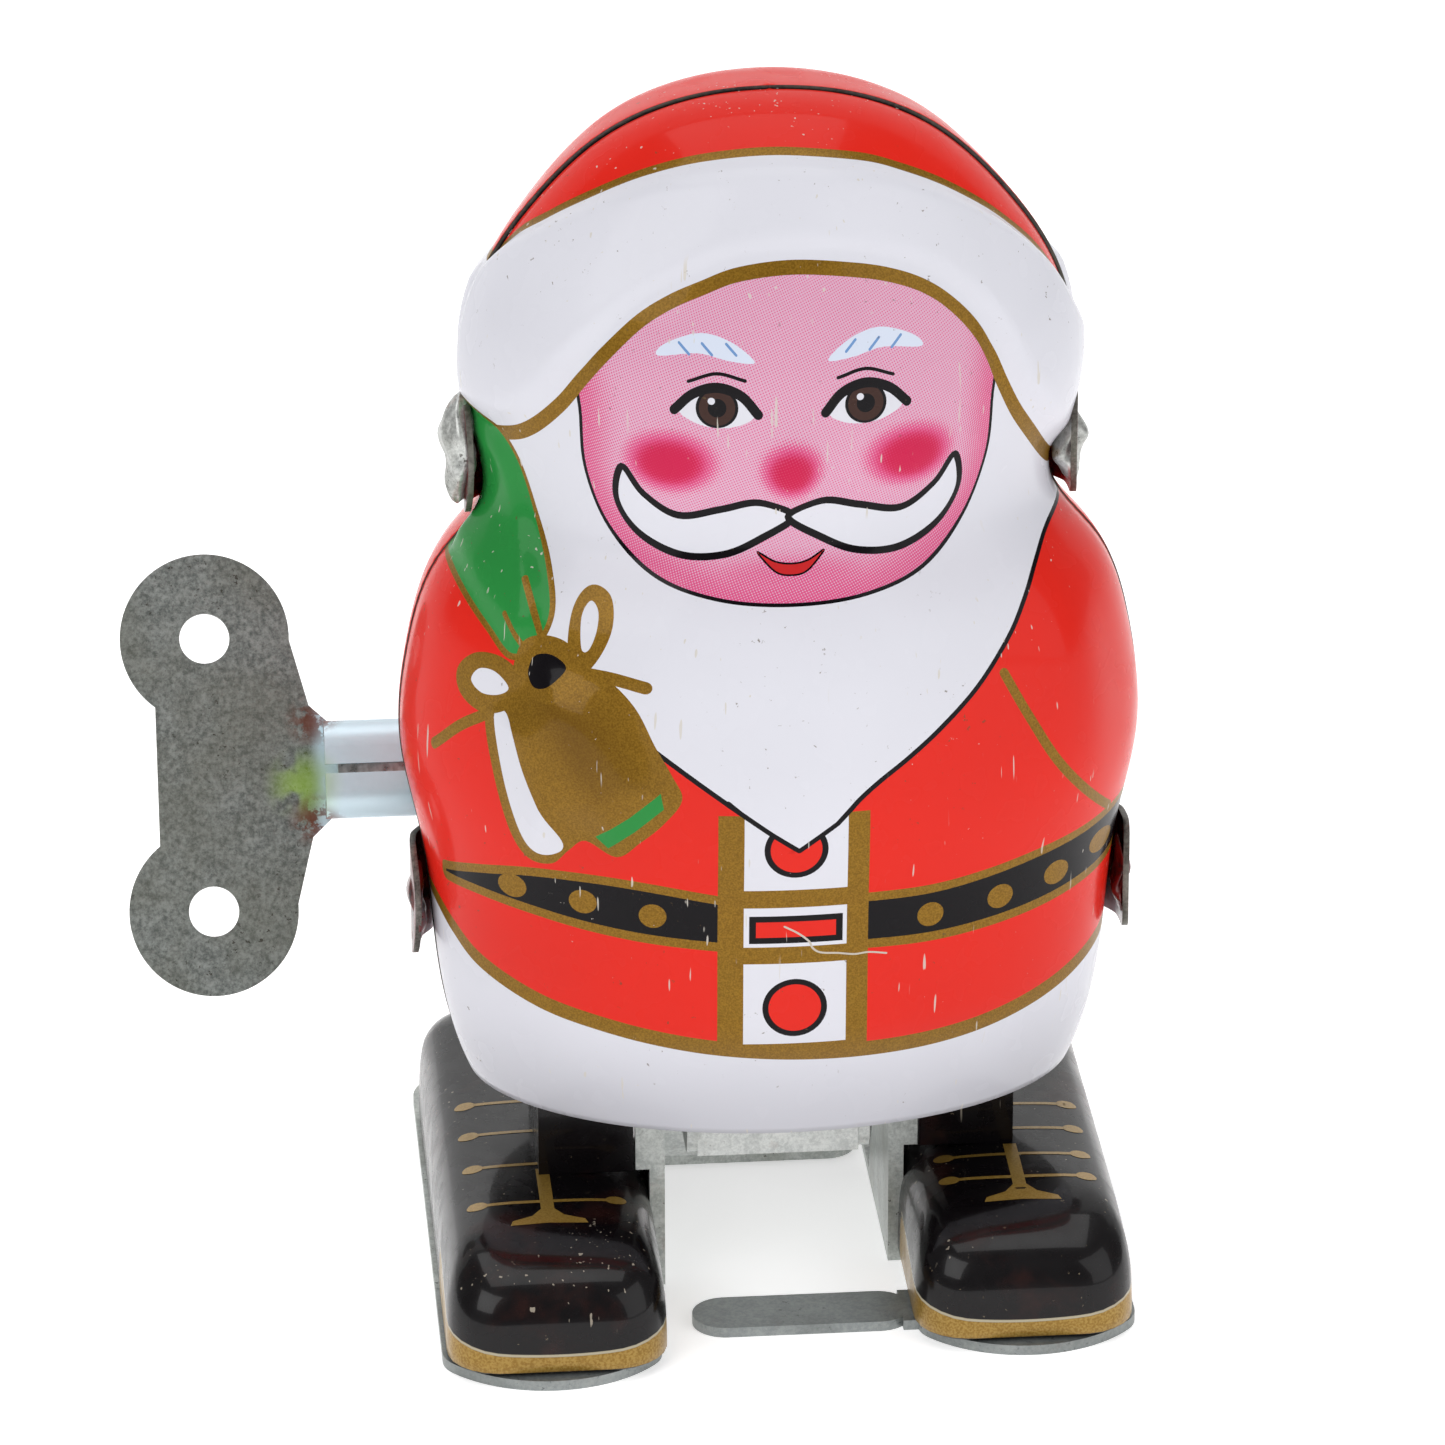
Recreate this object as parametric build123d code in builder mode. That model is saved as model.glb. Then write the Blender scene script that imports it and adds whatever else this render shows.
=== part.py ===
from build123d import *
import os
from math import acos, cos, hypot, pi, radians, sin, tan

# A clockwork tin walking figure, in millimetres. It faces -Y, its right side and its winding key are
# at -X, and the floor is z = 0. The origin is on the floor, on the figure's mid-plane and in the seam
# plane between the two halves of the body.

# ---- body halves ----
TOP_Z = 92.8
HEM_Z = 16.0
WALL = 0.6
FRONT_DEPTH = 0.65  # depth of the front half over its half-width
BACK_DEPTH = 0.80
# (half-width, height) of the outer skin in the seam plane, from the hem up to the hat
BODY_PROFILE = [
    (22.9, HEM_Z),
    (24.6, 21.5),
    (25.5, 29.0),
    (26.2, 35.0),
    (27.6, 42.5),
    (26.9, 50.5),
    (24.3, 57.5),
    (20.9, 62.3),
    (21.4, 68.0),
    (22.2, 73.0),
    (20.9, 79.0),
    (17.1, 84.8),
    (12.0, 89.6),
    (6.2, 92.1),
]
HEM_SLOPE = (0.45, 1)
KEY_HOLE_R = 4.6

# ---- ears of the back half, and the front half's tongues that lock them ----
# (height, half-width of the body there, half-height of the ear)
EAR_SITES = [(65.6, 21.2, 4.5), (30.0, 25.65, 4.4)]
EAR_Y = -1.0
EAR_HALF_WIDTH = 2.6
EAR_THICK = 0.5
EAR_STAND_OFF = 0.7
EAR_FOOT_Y = (0.2, 2.4)
EAR_FOOT_HALF = 2.6
TONGUE_Y = -1.35
TONGUE_THICK = 0.5
TONGUE_HALF = 1.7
TONGUE_FOLD = (-4.4, 1.7)
TONGUE_FOLD_Y = (-2.8, 0.3)
TONGUE_GAP = 0.1  # between an ear and the tongue folded over it
SLOT_CLEARANCE = 0.2

# ---- motor frame ----
PLATE_INNER_X = 6.1
PLATE_THICK = 0.8
PLATE_OUTLINE = [
    (-7.5, 10.6),
    (7.5, 10.6),
    (9.5, 17.0),
    (14.5, 19.5),
    (14.5, 46.0),
    (10.0, 49.5),
    (-4.0, 49.5),
    (-13.4, 43.0),
    (-13.4, 19.5),
    (-8.5, 17.0),
]
PLATE_CORNER_R = 1.5
PILLARS = [(11.0, 21.5), (-10.5, 21.0), (-8.5, 44.5)]
PILLAR_R = 1.3
RIVET_R = 0.8
RIVET_PROUD = 0.3
STRAP_FRONT_Y = -7.4
STRAP_Z = (10.6, 13.0)
STRAP_THICK = 0.7
BRACKET_Z = (26.0, 32.0)
BRACKET_THICK = 0.8
BRACKET_PATH = [(-24.1, -0.9), (-19.9, -7.9), (-10.5, -13.8)]

# ---- wheels and axles; every axle lies along X ----
PRESSURE_ANGLE = radians(20)
ADDENDUM = 0.6  # stub teeth, in modules
DEDENDUM = 0.85
TOOTH_SLACK = 0.06
CENTRE_SLACK = 0.05
RUNNING_FIT = 0.05
SHOULDER_GAP = 0.1  # between a motor plate and the shoulder that keeps an axle in place
SHOULDER_THICK = 0.35
SHOULDER_PROUD = 0.7
ARBOR_Y = 8.5
ARBOR_Z = 36.5
ARBOR_R = 1.6
GREAT_TEETH = 44
GREAT_WHEEL_X = (1.6, 2.6)
PINION_TEETH = 11
CRANK_PINION_X = (1.2, 3.0)
FIRST_MODULE = 0.5
CRANK_WHEEL_TEETH = 30
CRANK_WHEEL_X = (3.6, 4.4)
ESCAPE_TEETH = 8
ESCAPE_PINION_X = (3.2, 4.8)
SECOND_MODULE = 0.4
CRANK_DIRECTION = 220  # degrees from +Y towards +Z, seen from the winding arbor
ESCAPE_DIRECTION = 148  # the same, seen from the crank axle
CRANK_AXLE_R = 1.25
ESCAPE_ARBOR_R = 0.7
JOURNAL_SHORT = 0.05  # how far the thin arbors stop short of the plates' outer faces
VERGE_ARBOR_R = 0.6
STAR_POINTS = 12
STAR_TIP_R = 4.5
STAR_ROOT_R = 3.1
STAR_LEAN = 0.5  # how far a tooth's root trails its tip, as a part of a pitch
STAR_X = (-1.4, -0.6)
VERGE_X = (-2.8, -2.0)
VERGE_STRIP = 1.6
VERGE_HUB_R = 1.7
VERGE_RISE = 7.2  # verge arbor above the star wheel's centre
PALLET_R = 5.6  # distance of the pallet pins from the star wheel's centre
PALLET_ANGLE = 50
PALLET_PAD_R = 0.8
PALLET_PIN_R = 0.5
PALLET_PIN_PAST = 0.3  # how far the pins reach past the star wheel
RATCHET_POINTS = 12
RATCHET_TIP_R = 3.7
RATCHET_ROOT_R = 3.1
RATCHET_LEAN = 0.08
RATCHET_X = (-0.5, 0.8)
CLICK_RIVET = (-1.3, 7.4)
CLICK_TIP = (3.3, 2.75)
CLICK_X = (-0.2, 0.6)
CLICK_LEAF = 0.6
CLICK_EYE_R = 1.3
SPRING_TURNS = 9
SPRING_INNER_R = 2.6
SPRING_PITCH = 0.74
SPRING_THICK = 0.3
SPRING_X = (-5.6, -1.2)
SPRING_POST = (-1.6, 46.2)
SPRING_POST_R = 1.0

# ---- cranks, legs and feet ----
THROW = 1.2
CRANK_DISC_R = 3.2
CRANK_DISC_X = (7.2, 8.2)
CRANK_PIN_R = 0.8
CRANK_PIN_END = 10.2
WASHER_R = 1.5
WASHER_THICK = 0.5
WASHER_GAP = 0.15
GUIDE_Z = 38.0
GUIDE_STUD_R = 1.0
GUIDE_WINDOW_R = 2.5
LEG_INNER_X = 8.6
LEG_THICK = 0.8
LEG_TOP_R = 4.0
LEG_FRONT_Y = -6.5
LEG_WAIST_Z = 30.0
LEG_ANKLE = [(8.0, 0), (7.0, 3.0), (3.0, 10.0)]  # (y, z) up the strip's rear edge
FLANGE_OUTER_X = 10.8
FLANGE_OUTER_X_AT_SHOE = 9.75
FLANGE_TOP_Z = 27.0
FLANGE_STEP_Z = 9.8  # the flange is narrower below this, beside the shoe
SOLE_THICK = 0.8
SOLE_OUTER_X = 26.1
SOLE_FORE_INNER_X = 9.7  # inner edge in front of the leg strip
SOLE_TOE_Y = -22.7
SOLE_HEEL_Y = 30.0
SOLE_SHOULDER_Y = -18.4
SOLE_HEEL_R = 4.0
SOLE_TOE_R = 2.8
# name, side, crank offset, y range of the balance tab, reach of the tab past the mid-plane
FEET = [("right", -1, -THROW, (13.6, 18.6), 7.3), ("left", 1, THROW, (-17.9, -12.9), 6.3)]
SHOE_INNER_X = 9.95
SHOE_OUTER_X = 25.8
SHOE_TOP_Z = 9.6
SHOE_SHOULDER_Z = 6.6
SHOE_TAPER = 35
SHOE_TOE_Y = -22.0
SHOE_TOE_SHOULDER_Y = -16.4
SHOE_HEEL_Y = 27.0
SHOE_HEEL_SHOULDER_Y = 21.9
CUFF_X = (10.95, 18.1)
CUFF_Y = (-6.3, 6.2)
CUFF_TOP_Z = 21.0
SHEET = 0.5

# ---- winding key ----
KEY_TILT = radians(26)  # how far the bow leans back to face upwards
KEY_THICK = 0.95
SHANK_SIZE = (4.6, 7.4)
SHANK_CORNER_R = 2.0
SHANK_SLIT = 0.7
SHANK_OUTBOARD = 33.0
SHANK_INBOARD = 15.0
LOBE_OUTBOARD = 41.7
LOBE_RISE = 10.35
LOBE_R = 6.4
LOBE_HOLE_R = 1.9
# half of the bow's web, (outboard distance from the mid-plane, rise)
BOW_WEB = [(45.6, LOBE_RISE), (35.4, LOBE_RISE), (34.0, 5.0), (32.6, 3.7)]
BLADE_SIZE = (2.5, 5.3)
BLADE_CORNER_R = 1.0
BLADE_START = 7.3
BLADE_END = 32.0

# ---- places worked out from the above ----
first_centre = FIRST_MODULE * (GREAT_TEETH + PINION_TEETH) / 2 + CENTRE_SLACK
second_centre = SECOND_MODULE * (CRANK_WHEEL_TEETH + ESCAPE_TEETH) / 2 + CENTRE_SLACK
CRANK_Y = ARBOR_Y + first_centre * cos(radians(CRANK_DIRECTION))
CRANK_Z = ARBOR_Z + first_centre * sin(radians(CRANK_DIRECTION))
ESCAPE_Y = CRANK_Y + second_centre * cos(radians(ESCAPE_DIRECTION))
ESCAPE_Z = CRANK_Z + second_centre * sin(radians(ESCAPE_DIRECTION))
VERGE_Z = ESCAPE_Z + VERGE_RISE
PLATE_OUTER_X = PLATE_INNER_X + PLATE_THICK

os.makedirs("parts", exist_ok=True)


def save(piece, name):
    """Label a finished piece and write it as its own STEP file."""
    piece.part.label = name
    export_step(piece.part, f"parts/{name}.step")


def across(x, y=0.0, z=0.0):
    """The plane facing +X at x, with +Y to its right, +Z up, and its origin at (y, z)."""
    return Plane(origin=(x, y, z), x_dir=(0, 1, 0), z_dir=(1, 0, 0))


def rod(radius, x_from, x_to, y, z):
    """Add a round bar along X to the part being built."""
    with BuildSketch(across(x_from, y, z)) as section:
        Circle(radius)
    extrude(section.sketch, amount=x_to - x_from)


def shoulders(radius, y, z):
    """Add the two collars that keep an axle of a given radius between the motor plates."""
    outer = PLATE_INNER_X - SHOULDER_GAP
    rod(radius + SHOULDER_PROUD, -outer, SHOULDER_THICK - outer, y, z)
    rod(radius + SHOULDER_PROUD, outer - SHOULDER_THICK, outer, y, z)


def inset_profile(points, depth):
    """Move each inner point of a line inwards, square to the line through its neighbours."""
    moved = []
    for before, here, after in zip(points[:-2], points[1:-1], points[2:]):
        run = after[0] - before[0]
        rise = after[1] - before[1]
        length = hypot(run, rise)
        moved.append((here[0] - depth * rise / length, here[1] + depth * run / length))
    return moved


# ---- body ----
def body_half(depth, turn):
    """One stamped half of the body: half a turn of the wall's section, flattened front to back."""
    outer = BODY_PROFILE + [(0, TOP_Z)]
    inner = [(BODY_PROFILE[0][0] - WALL, HEM_Z)] + inset_profile(outer, WALL) + [(0, TOP_Z - WALL)]
    with BuildPart() as half:
        with BuildSketch(Plane.XZ):
            with BuildLine():
                Spline(*outer, tangents=[HEM_SLOPE, (-1, 0)])
                Line(outer[-1], inner[-1])
                Spline(*inner, tangents=[HEM_SLOPE, (-1, 0)])
                Line(inner[0], outer[0])
            make_face()
        revolve(axis=Axis((0, 0, 0), (0, 0, turn)), revolution_arc=180)
        scale(by=(1, depth, 1))
    return half


def make_back_shell():
    """The back half, with four ears that lap over the front half and a hole for the key's shank."""
    skin = body_half(BACK_DEPTH, 1)
    with BuildPart() as shell:
        add(skin.part)
        for side in (-1, 1):
            for ear_z, half_width, half_height in EAR_SITES:
                ear_x = side * (half_width + EAR_STAND_OFF)
                with BuildSketch(across(ear_x, EAR_Y, ear_z)):
                    Ellipse(EAR_HALF_WIDTH, half_height)
                extrude(amount=side * EAR_THICK)
                with BuildSketch(across(side * (half_width - WALL / 2), 0, ear_z)):
                    with Locations((sum(EAR_FOOT_Y) / 2, 0)):
                        Rectangle(EAR_FOOT_Y[1] - EAR_FOOT_Y[0], 2 * EAR_FOOT_HALF)
                extrude(amount=side * (WALL / 2 + EAR_STAND_OFF + EAR_THICK))
                with BuildSketch(across(ear_x, TONGUE_Y, ear_z)):
                    Rectangle(TONGUE_THICK + 2 * SLOT_CLEARANCE, 2 * (TONGUE_HALF + SLOT_CLEARANCE))
                extrude(amount=side * EAR_THICK, mode=Mode.SUBTRACT)
        widest = max(half_width for half_width, _ in BODY_PROFILE)
        with BuildSketch(across(-widest, ARBOR_Y, ARBOR_Z)):
            Circle(KEY_HOLE_R)
        extrude(amount=widest / 2, mode=Mode.SUBTRACT)
    save(shell, "back_shell")


def make_front_shell():
    """The front half, with four tongues that pass through the ears and are folded down outside."""
    skin = body_half(FRONT_DEPTH, -1)
    with BuildPart() as shell:
        add(skin.part)
        for side in (-1, 1):
            for ear_z, half_width, _ in EAR_SITES:
                root_x = half_width - WALL / 2
                fold_x = half_width + EAR_STAND_OFF + EAR_THICK + TONGUE_GAP
                with BuildSketch(across(side * root_x, TONGUE_Y, ear_z)):
                    Rectangle(TONGUE_THICK, 2 * TONGUE_HALF)
                extrude(amount=side * (fold_x + TONGUE_THICK - root_x))
                fold_y = (TONGUE_FOLD_Y[0] + TONGUE_FOLD_Y[1]) / 2
                fold_z = ear_z + (TONGUE_FOLD[0] + TONGUE_FOLD[1]) / 2
                with BuildSketch(across(side * fold_x, fold_y, fold_z)):
                    RectangleRounded(
                        TONGUE_FOLD_Y[1] - TONGUE_FOLD_Y[0],
                        TONGUE_FOLD[1] - TONGUE_FOLD[0],
                        TONGUE_THICK,
                    )
                extrude(amount=side * TONGUE_THICK)
    save(shell, "front_shell")


# ---- motor frame ----
def make_motor_plates():
    """The two side plates that carry every axle."""
    bearings = [
        (ARBOR_R, ARBOR_Y, ARBOR_Z),
        (CRANK_AXLE_R, CRANK_Y, CRANK_Z),
        (ESCAPE_ARBOR_R, ESCAPE_Y, ESCAPE_Z),
        (VERGE_ARBOR_R, ESCAPE_Y, VERGE_Z),
    ]
    for name, side in (("right", -1), ("left", 1)):
        with BuildPart() as plate:
            with BuildSketch(across(side * PLATE_INNER_X)) as outline:
                with BuildLine():
                    Polyline(*PLATE_OUTLINE, close=True)
                make_face()
                fillet(outline.vertices(), PLATE_CORNER_R)
                for radius, y, z in bearings:
                    with Locations((y, z)):
                        Circle(radius + RUNNING_FIT, mode=Mode.SUBTRACT)
                with Locations(*PILLARS, SPRING_POST):
                    Circle(RIVET_R, mode=Mode.SUBTRACT)
            extrude(amount=side * PLATE_THICK)
        save(plate, f"motor_plate_{name}")


def riveted_bar(radius, y, z):
    """Add a bar between the plates with a thinner riveted end through each plate."""
    rod(radius, -PLATE_INNER_X, PLATE_INNER_X, y, z)
    end = PLATE_OUTER_X + RIVET_PROUD
    rod(RIVET_R, -end, end, y, z)


def make_motor_frame():
    """The pillars, the spring post, the lower cross strap and the bracket to the body's side seams."""
    with BuildPart() as pillars:
        for y, z in PILLARS:
            riveted_bar(PILLAR_R, y, z)
    save(pillars, "motor_pillars")

    with BuildPart() as post:
        riveted_bar(SPRING_POST_R, *SPRING_POST)
    save(post, "spring_post")

    low, high = STRAP_Z
    with BuildPart() as strap:
        with BuildSketch(across(-PLATE_INNER_X)):
            with BuildLine():
                Polyline(
                    (STRAP_FRONT_Y, low),
                    (STRAP_FRONT_Y + STRAP_THICK, low),
                    (STRAP_FRONT_Y + STRAP_THICK, high - STRAP_THICK),
                    (-STRAP_FRONT_Y, high - STRAP_THICK),
                    (-STRAP_FRONT_Y, high),
                    (STRAP_FRONT_Y, high),
                    close=True,
                )
            make_face()
        extrude(amount=2 * PLATE_INNER_X)
    save(strap, "lower_strap")

    low, high = BRACKET_Z
    other_side = [(-x, y) for x, y in reversed(BRACKET_PATH)]
    with BuildPart() as bracket:
        with BuildSketch(Plane.XY.offset(low)):
            with BuildLine() as path:
                Polyline(*BRACKET_PATH, *other_side)
            trace(path.line, BRACKET_THICK)
        extrude(amount=high - low)
    save(bracket, "motor_bracket")


# ---- wheels ----
def involute(radius, base_radius):
    """The involute function of the pressure angle at a radius."""
    pressure = acos(base_radius / radius)
    return tan(pressure) - pressure


def tooth_outline(module, teeth):
    """One tooth pointing along +X, with involute flanks above the base circle."""
    pitch_r = module * teeth / 2
    base_r = pitch_r * cos(PRESSURE_ANGLE)
    tip_r = pitch_r + ADDENDUM * module
    root_r = pitch_r - DEDENDUM * module
    pitch_half = pi / (2 * teeth) - TOOTH_SLACK / (2 * pitch_r)
    start_r = max(base_r, root_r)
    steps = 4
    flank = []
    for step in range(steps + 1):
        radius = start_r + (tip_r - start_r) * step / steps
        half = pitch_half + involute(pitch_r, base_r) - involute(radius, base_r)
        flank.append((radius, half))
    buried_r = root_r - module / 4
    flank.insert(0, (buried_r, flank[0][1]))
    lower = [(radius * cos(half), -radius * sin(half)) for radius, half in flank]
    upper = [(x, -y) for x, y in reversed(lower)]
    return lower + upper


def gear(module, teeth, phase, x_range, y, z, bore):
    """A spur gear about an axle along X; one tooth points at the phase angle."""
    root_r = module * teeth / 2 - DEDENDUM * module
    with BuildSketch() as tooth:
        with BuildLine():
            Polyline(*tooth_outline(module, teeth), close=True)
        make_face()
    with BuildPart() as wheel:
        with BuildSketch(across(x_range[0], y, z)):
            Circle(root_r)
            with PolarLocations(0, teeth, start_angle=phase):
                add(tooth.sketch)
            Circle(bore, mode=Mode.SUBTRACT)
        extrude(amount=x_range[1] - x_range[0])
    return wheel


def star(points, tip_r, root_r, lean, x_range, y, z, bore):
    """A wheel with pointed teeth; lean is how far each root trails its tip, as a part of a pitch."""
    pitch = 2 * pi / points
    outline = []
    for index in range(points):
        tip = index * pitch
        root = tip + lean * pitch
        outline.append((tip_r * cos(tip), tip_r * sin(tip)))
        outline.append((root_r * cos(root), root_r * sin(root)))
    with BuildPart() as wheel:
        with BuildSketch(across(x_range[0], y, z)):
            with BuildLine():
                Polyline(*outline, close=True)
            make_face()
            Circle(bore, mode=Mode.SUBTRACT)
        extrude(amount=x_range[1] - x_range[0])
    return wheel


def make_winding_group():
    """The great wheel with its click, and the arbor, ratchet and mainspring behind it."""
    bore = ARBOR_R + RUNNING_FIT
    wheel = gear(FIRST_MODULE, GREAT_TEETH, CRANK_DIRECTION, GREAT_WHEEL_X, ARBOR_Y, ARBOR_Z, bore)
    save(wheel, "great_wheel")

    ratchet = star(
        RATCHET_POINTS,
        RATCHET_TIP_R,
        RATCHET_ROOT_R,
        RATCHET_LEAN,
        RATCHET_X,
        ARBOR_Y,
        ARBOR_Z,
        ARBOR_R,
    )
    save(ratchet, "ratchet_wheel")

    rivet_y = ARBOR_Y + CLICK_RIVET[0]
    rivet_z = ARBOR_Z + CLICK_RIVET[1]
    with BuildPart() as click:
        with BuildSketch(across(CLICK_X[0], ARBOR_Y, ARBOR_Z)):
            with BuildLine() as leaf:
                Line(CLICK_RIVET, CLICK_TIP)
            trace(leaf.line, CLICK_LEAF)
            with Locations(CLICK_RIVET):
                Circle(CLICK_EYE_R)
                Circle(RIVET_R, mode=Mode.SUBTRACT)
        extrude(amount=CLICK_X[1] - CLICK_X[0])
    save(click, "click_spring")

    with BuildPart() as rivet:
        rod(RIVET_R, CLICK_X[0] - RIVET_PROUD, GREAT_WHEEL_X[0], rivet_y, rivet_z)
        rod(CLICK_EYE_R, CLICK_X[1], GREAT_WHEEL_X[0], rivet_y, rivet_z)
    save(rivet, "click_rivet")

    with BuildPart() as arbor:
        rod(ARBOR_R, -LEG_INNER_X, PLATE_OUTER_X + RIVET_PROUD, ARBOR_Y, ARBOR_Z)
        shoulders(ARBOR_R, ARBOR_Y, ARBOR_Z)
        with BuildSketch(key_section(BLADE_START)):
            RectangleRounded(*BLADE_SIZE, BLADE_CORNER_R)
        extrude(amount=BLADE_END - BLADE_START)
    save(arbor, "winding_arbor")


def make_mainspring():
    """A coiled strip: half turns whose centre steps sideways, and a straight end to the post."""
    half = SPRING_THICK / 2
    step = SPRING_PITCH / 2
    with BuildPart() as spring:
        with BuildSketch(across(SPRING_X[0], ARBOR_Y, ARBOR_Z)):
            for turn in range(2 * SPRING_TURNS):
                radius = SPRING_INNER_R + turn * step
                upwards = turn % 2 == 0
                centre = 0 if upwards else step
                sense = 1 if upwards else -1
                with BuildLine():
                    outer_r = radius + half
                    inner_r = radius - half
                    RadiusArc((centre + sense * outer_r, 0), (centre - sense * outer_r, 0), -outer_r)
                    Line((centre - sense * outer_r, 0), (centre - sense * inner_r, 0))
                    RadiusArc((centre - sense * inner_r, 0), (centre + sense * inner_r, 0), inner_r)
                    Line((centre + sense * inner_r, 0), (centre + sense * outer_r, 0))
                make_face()
        extrude(amount=SPRING_X[1] - SPRING_X[0])
    save(spring, "mainspring")


def make_crank_group():
    """The crank axle with its pinion and wheel, and a disc with an eccentric pin at each end."""
    pinion_phase = CRANK_DIRECTION - 180 + 180 / PINION_TEETH
    place = (CRANK_Y, CRANK_Z)
    pinion = gear(FIRST_MODULE, PINION_TEETH, pinion_phase, CRANK_PINION_X, *place, CRANK_AXLE_R)
    save(pinion, "crank_pinion")
    wheel = gear(
        SECOND_MODULE, CRANK_WHEEL_TEETH, ESCAPE_DIRECTION, CRANK_WHEEL_X, *place, CRANK_AXLE_R
    )
    save(wheel, "crank_wheel")

    with BuildPart() as axle:
        rod(CRANK_AXLE_R, -CRANK_DISC_X[1], CRANK_DISC_X[1], *place)
        shoulders(CRANK_AXLE_R, *place)
    save(axle, "crank_axle")

    for name, side, offset, _, _ in FEET:
        with BuildPart() as disc:
            with BuildSketch(across(side * CRANK_DISC_X[0], CRANK_Y, CRANK_Z)):
                Circle(CRANK_DISC_R)
                Circle(CRANK_AXLE_R, mode=Mode.SUBTRACT)
            extrude(amount=side * (CRANK_DISC_X[1] - CRANK_DISC_X[0]))
            with BuildSketch(across(side * CRANK_DISC_X[1], CRANK_Y + offset, CRANK_Z)):
                Circle(CRANK_PIN_R)
            extrude(amount=side * (CRANK_PIN_END - CRANK_DISC_X[1]))
        save(disc, f"crank_disc_{name}")

    washer_x = LEG_INNER_X + LEG_THICK + WASHER_GAP
    with BuildPart() as washers:
        for _, side, offset, _, _ in FEET:
            with BuildSketch(across(side * washer_x, CRANK_Y + offset, CRANK_Z)):
                Circle(WASHER_R)
                Circle(CRANK_PIN_R, mode=Mode.SUBTRACT)
            extrude(amount=side * WASHER_THICK)
    save(washers, "crank_washers")


def make_escapement():
    """The star wheel with its pinion, and the rocking verge whose two pins it knocks."""
    pinion_phase = ESCAPE_DIRECTION - 180 + 180 / ESCAPE_TEETH
    place = (ESCAPE_Y, ESCAPE_Z)
    pinion = gear(
        SECOND_MODULE, ESCAPE_TEETH, pinion_phase, ESCAPE_PINION_X, *place, ESCAPE_ARBOR_R
    )
    save(pinion, "escape_pinion")
    wheel = star(STAR_POINTS, STAR_TIP_R, STAR_ROOT_R, STAR_LEAN, STAR_X, *place, ESCAPE_ARBOR_R)
    save(wheel, "star_wheel")
    journal_end = PLATE_OUTER_X - JOURNAL_SHORT
    with BuildPart() as arbor:
        rod(ESCAPE_ARBOR_R, -journal_end, journal_end, ESCAPE_Y, ESCAPE_Z)
    save(arbor, "escape_arbor")

    pallets = []
    for sign in (-1, 1):
        angle = radians(90 + sign * PALLET_ANGLE)
        pallets.append((PALLET_R * cos(angle), PALLET_R * sin(angle) - VERGE_RISE))
    with BuildPart() as verge:
        with BuildSketch(across(VERGE_X[0], ESCAPE_Y, VERGE_Z)):
            with BuildLine() as arms:
                Polyline(pallets[0], (0, 0), pallets[1])
            trace(arms.line, VERGE_STRIP)
            with Locations((0, 0)):
                Circle(VERGE_HUB_R)
            with Locations(*pallets):
                Circle(PALLET_PAD_R)
            Circle(VERGE_ARBOR_R, mode=Mode.SUBTRACT)
        extrude(amount=VERGE_X[1] - VERGE_X[0])
        for y, z in pallets:
            rod(PALLET_PIN_R, VERGE_X[1], STAR_X[1] + PALLET_PIN_PAST, ESCAPE_Y + y, VERGE_Z + z)
    save(verge, "verge")
    with BuildPart() as staff:
        rod(VERGE_ARBOR_R, -journal_end, journal_end, ESCAPE_Y, VERGE_Z)
    save(staff, "verge_arbor")


# ---- legs ----
def make_guide_studs():
    """A stud on each motor plate that the window at the top of the leg travels round."""
    with BuildPart() as studs:
        for side in (-1, 1):
            with BuildSketch(across(side * PLATE_OUTER_X, CRANK_Y, GUIDE_Z)):
                Circle(GUIDE_STUD_R)
            extrude(amount=side * (CRANK_PIN_END - PLATE_OUTER_X))
    save(studs, "guide_studs")


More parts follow.
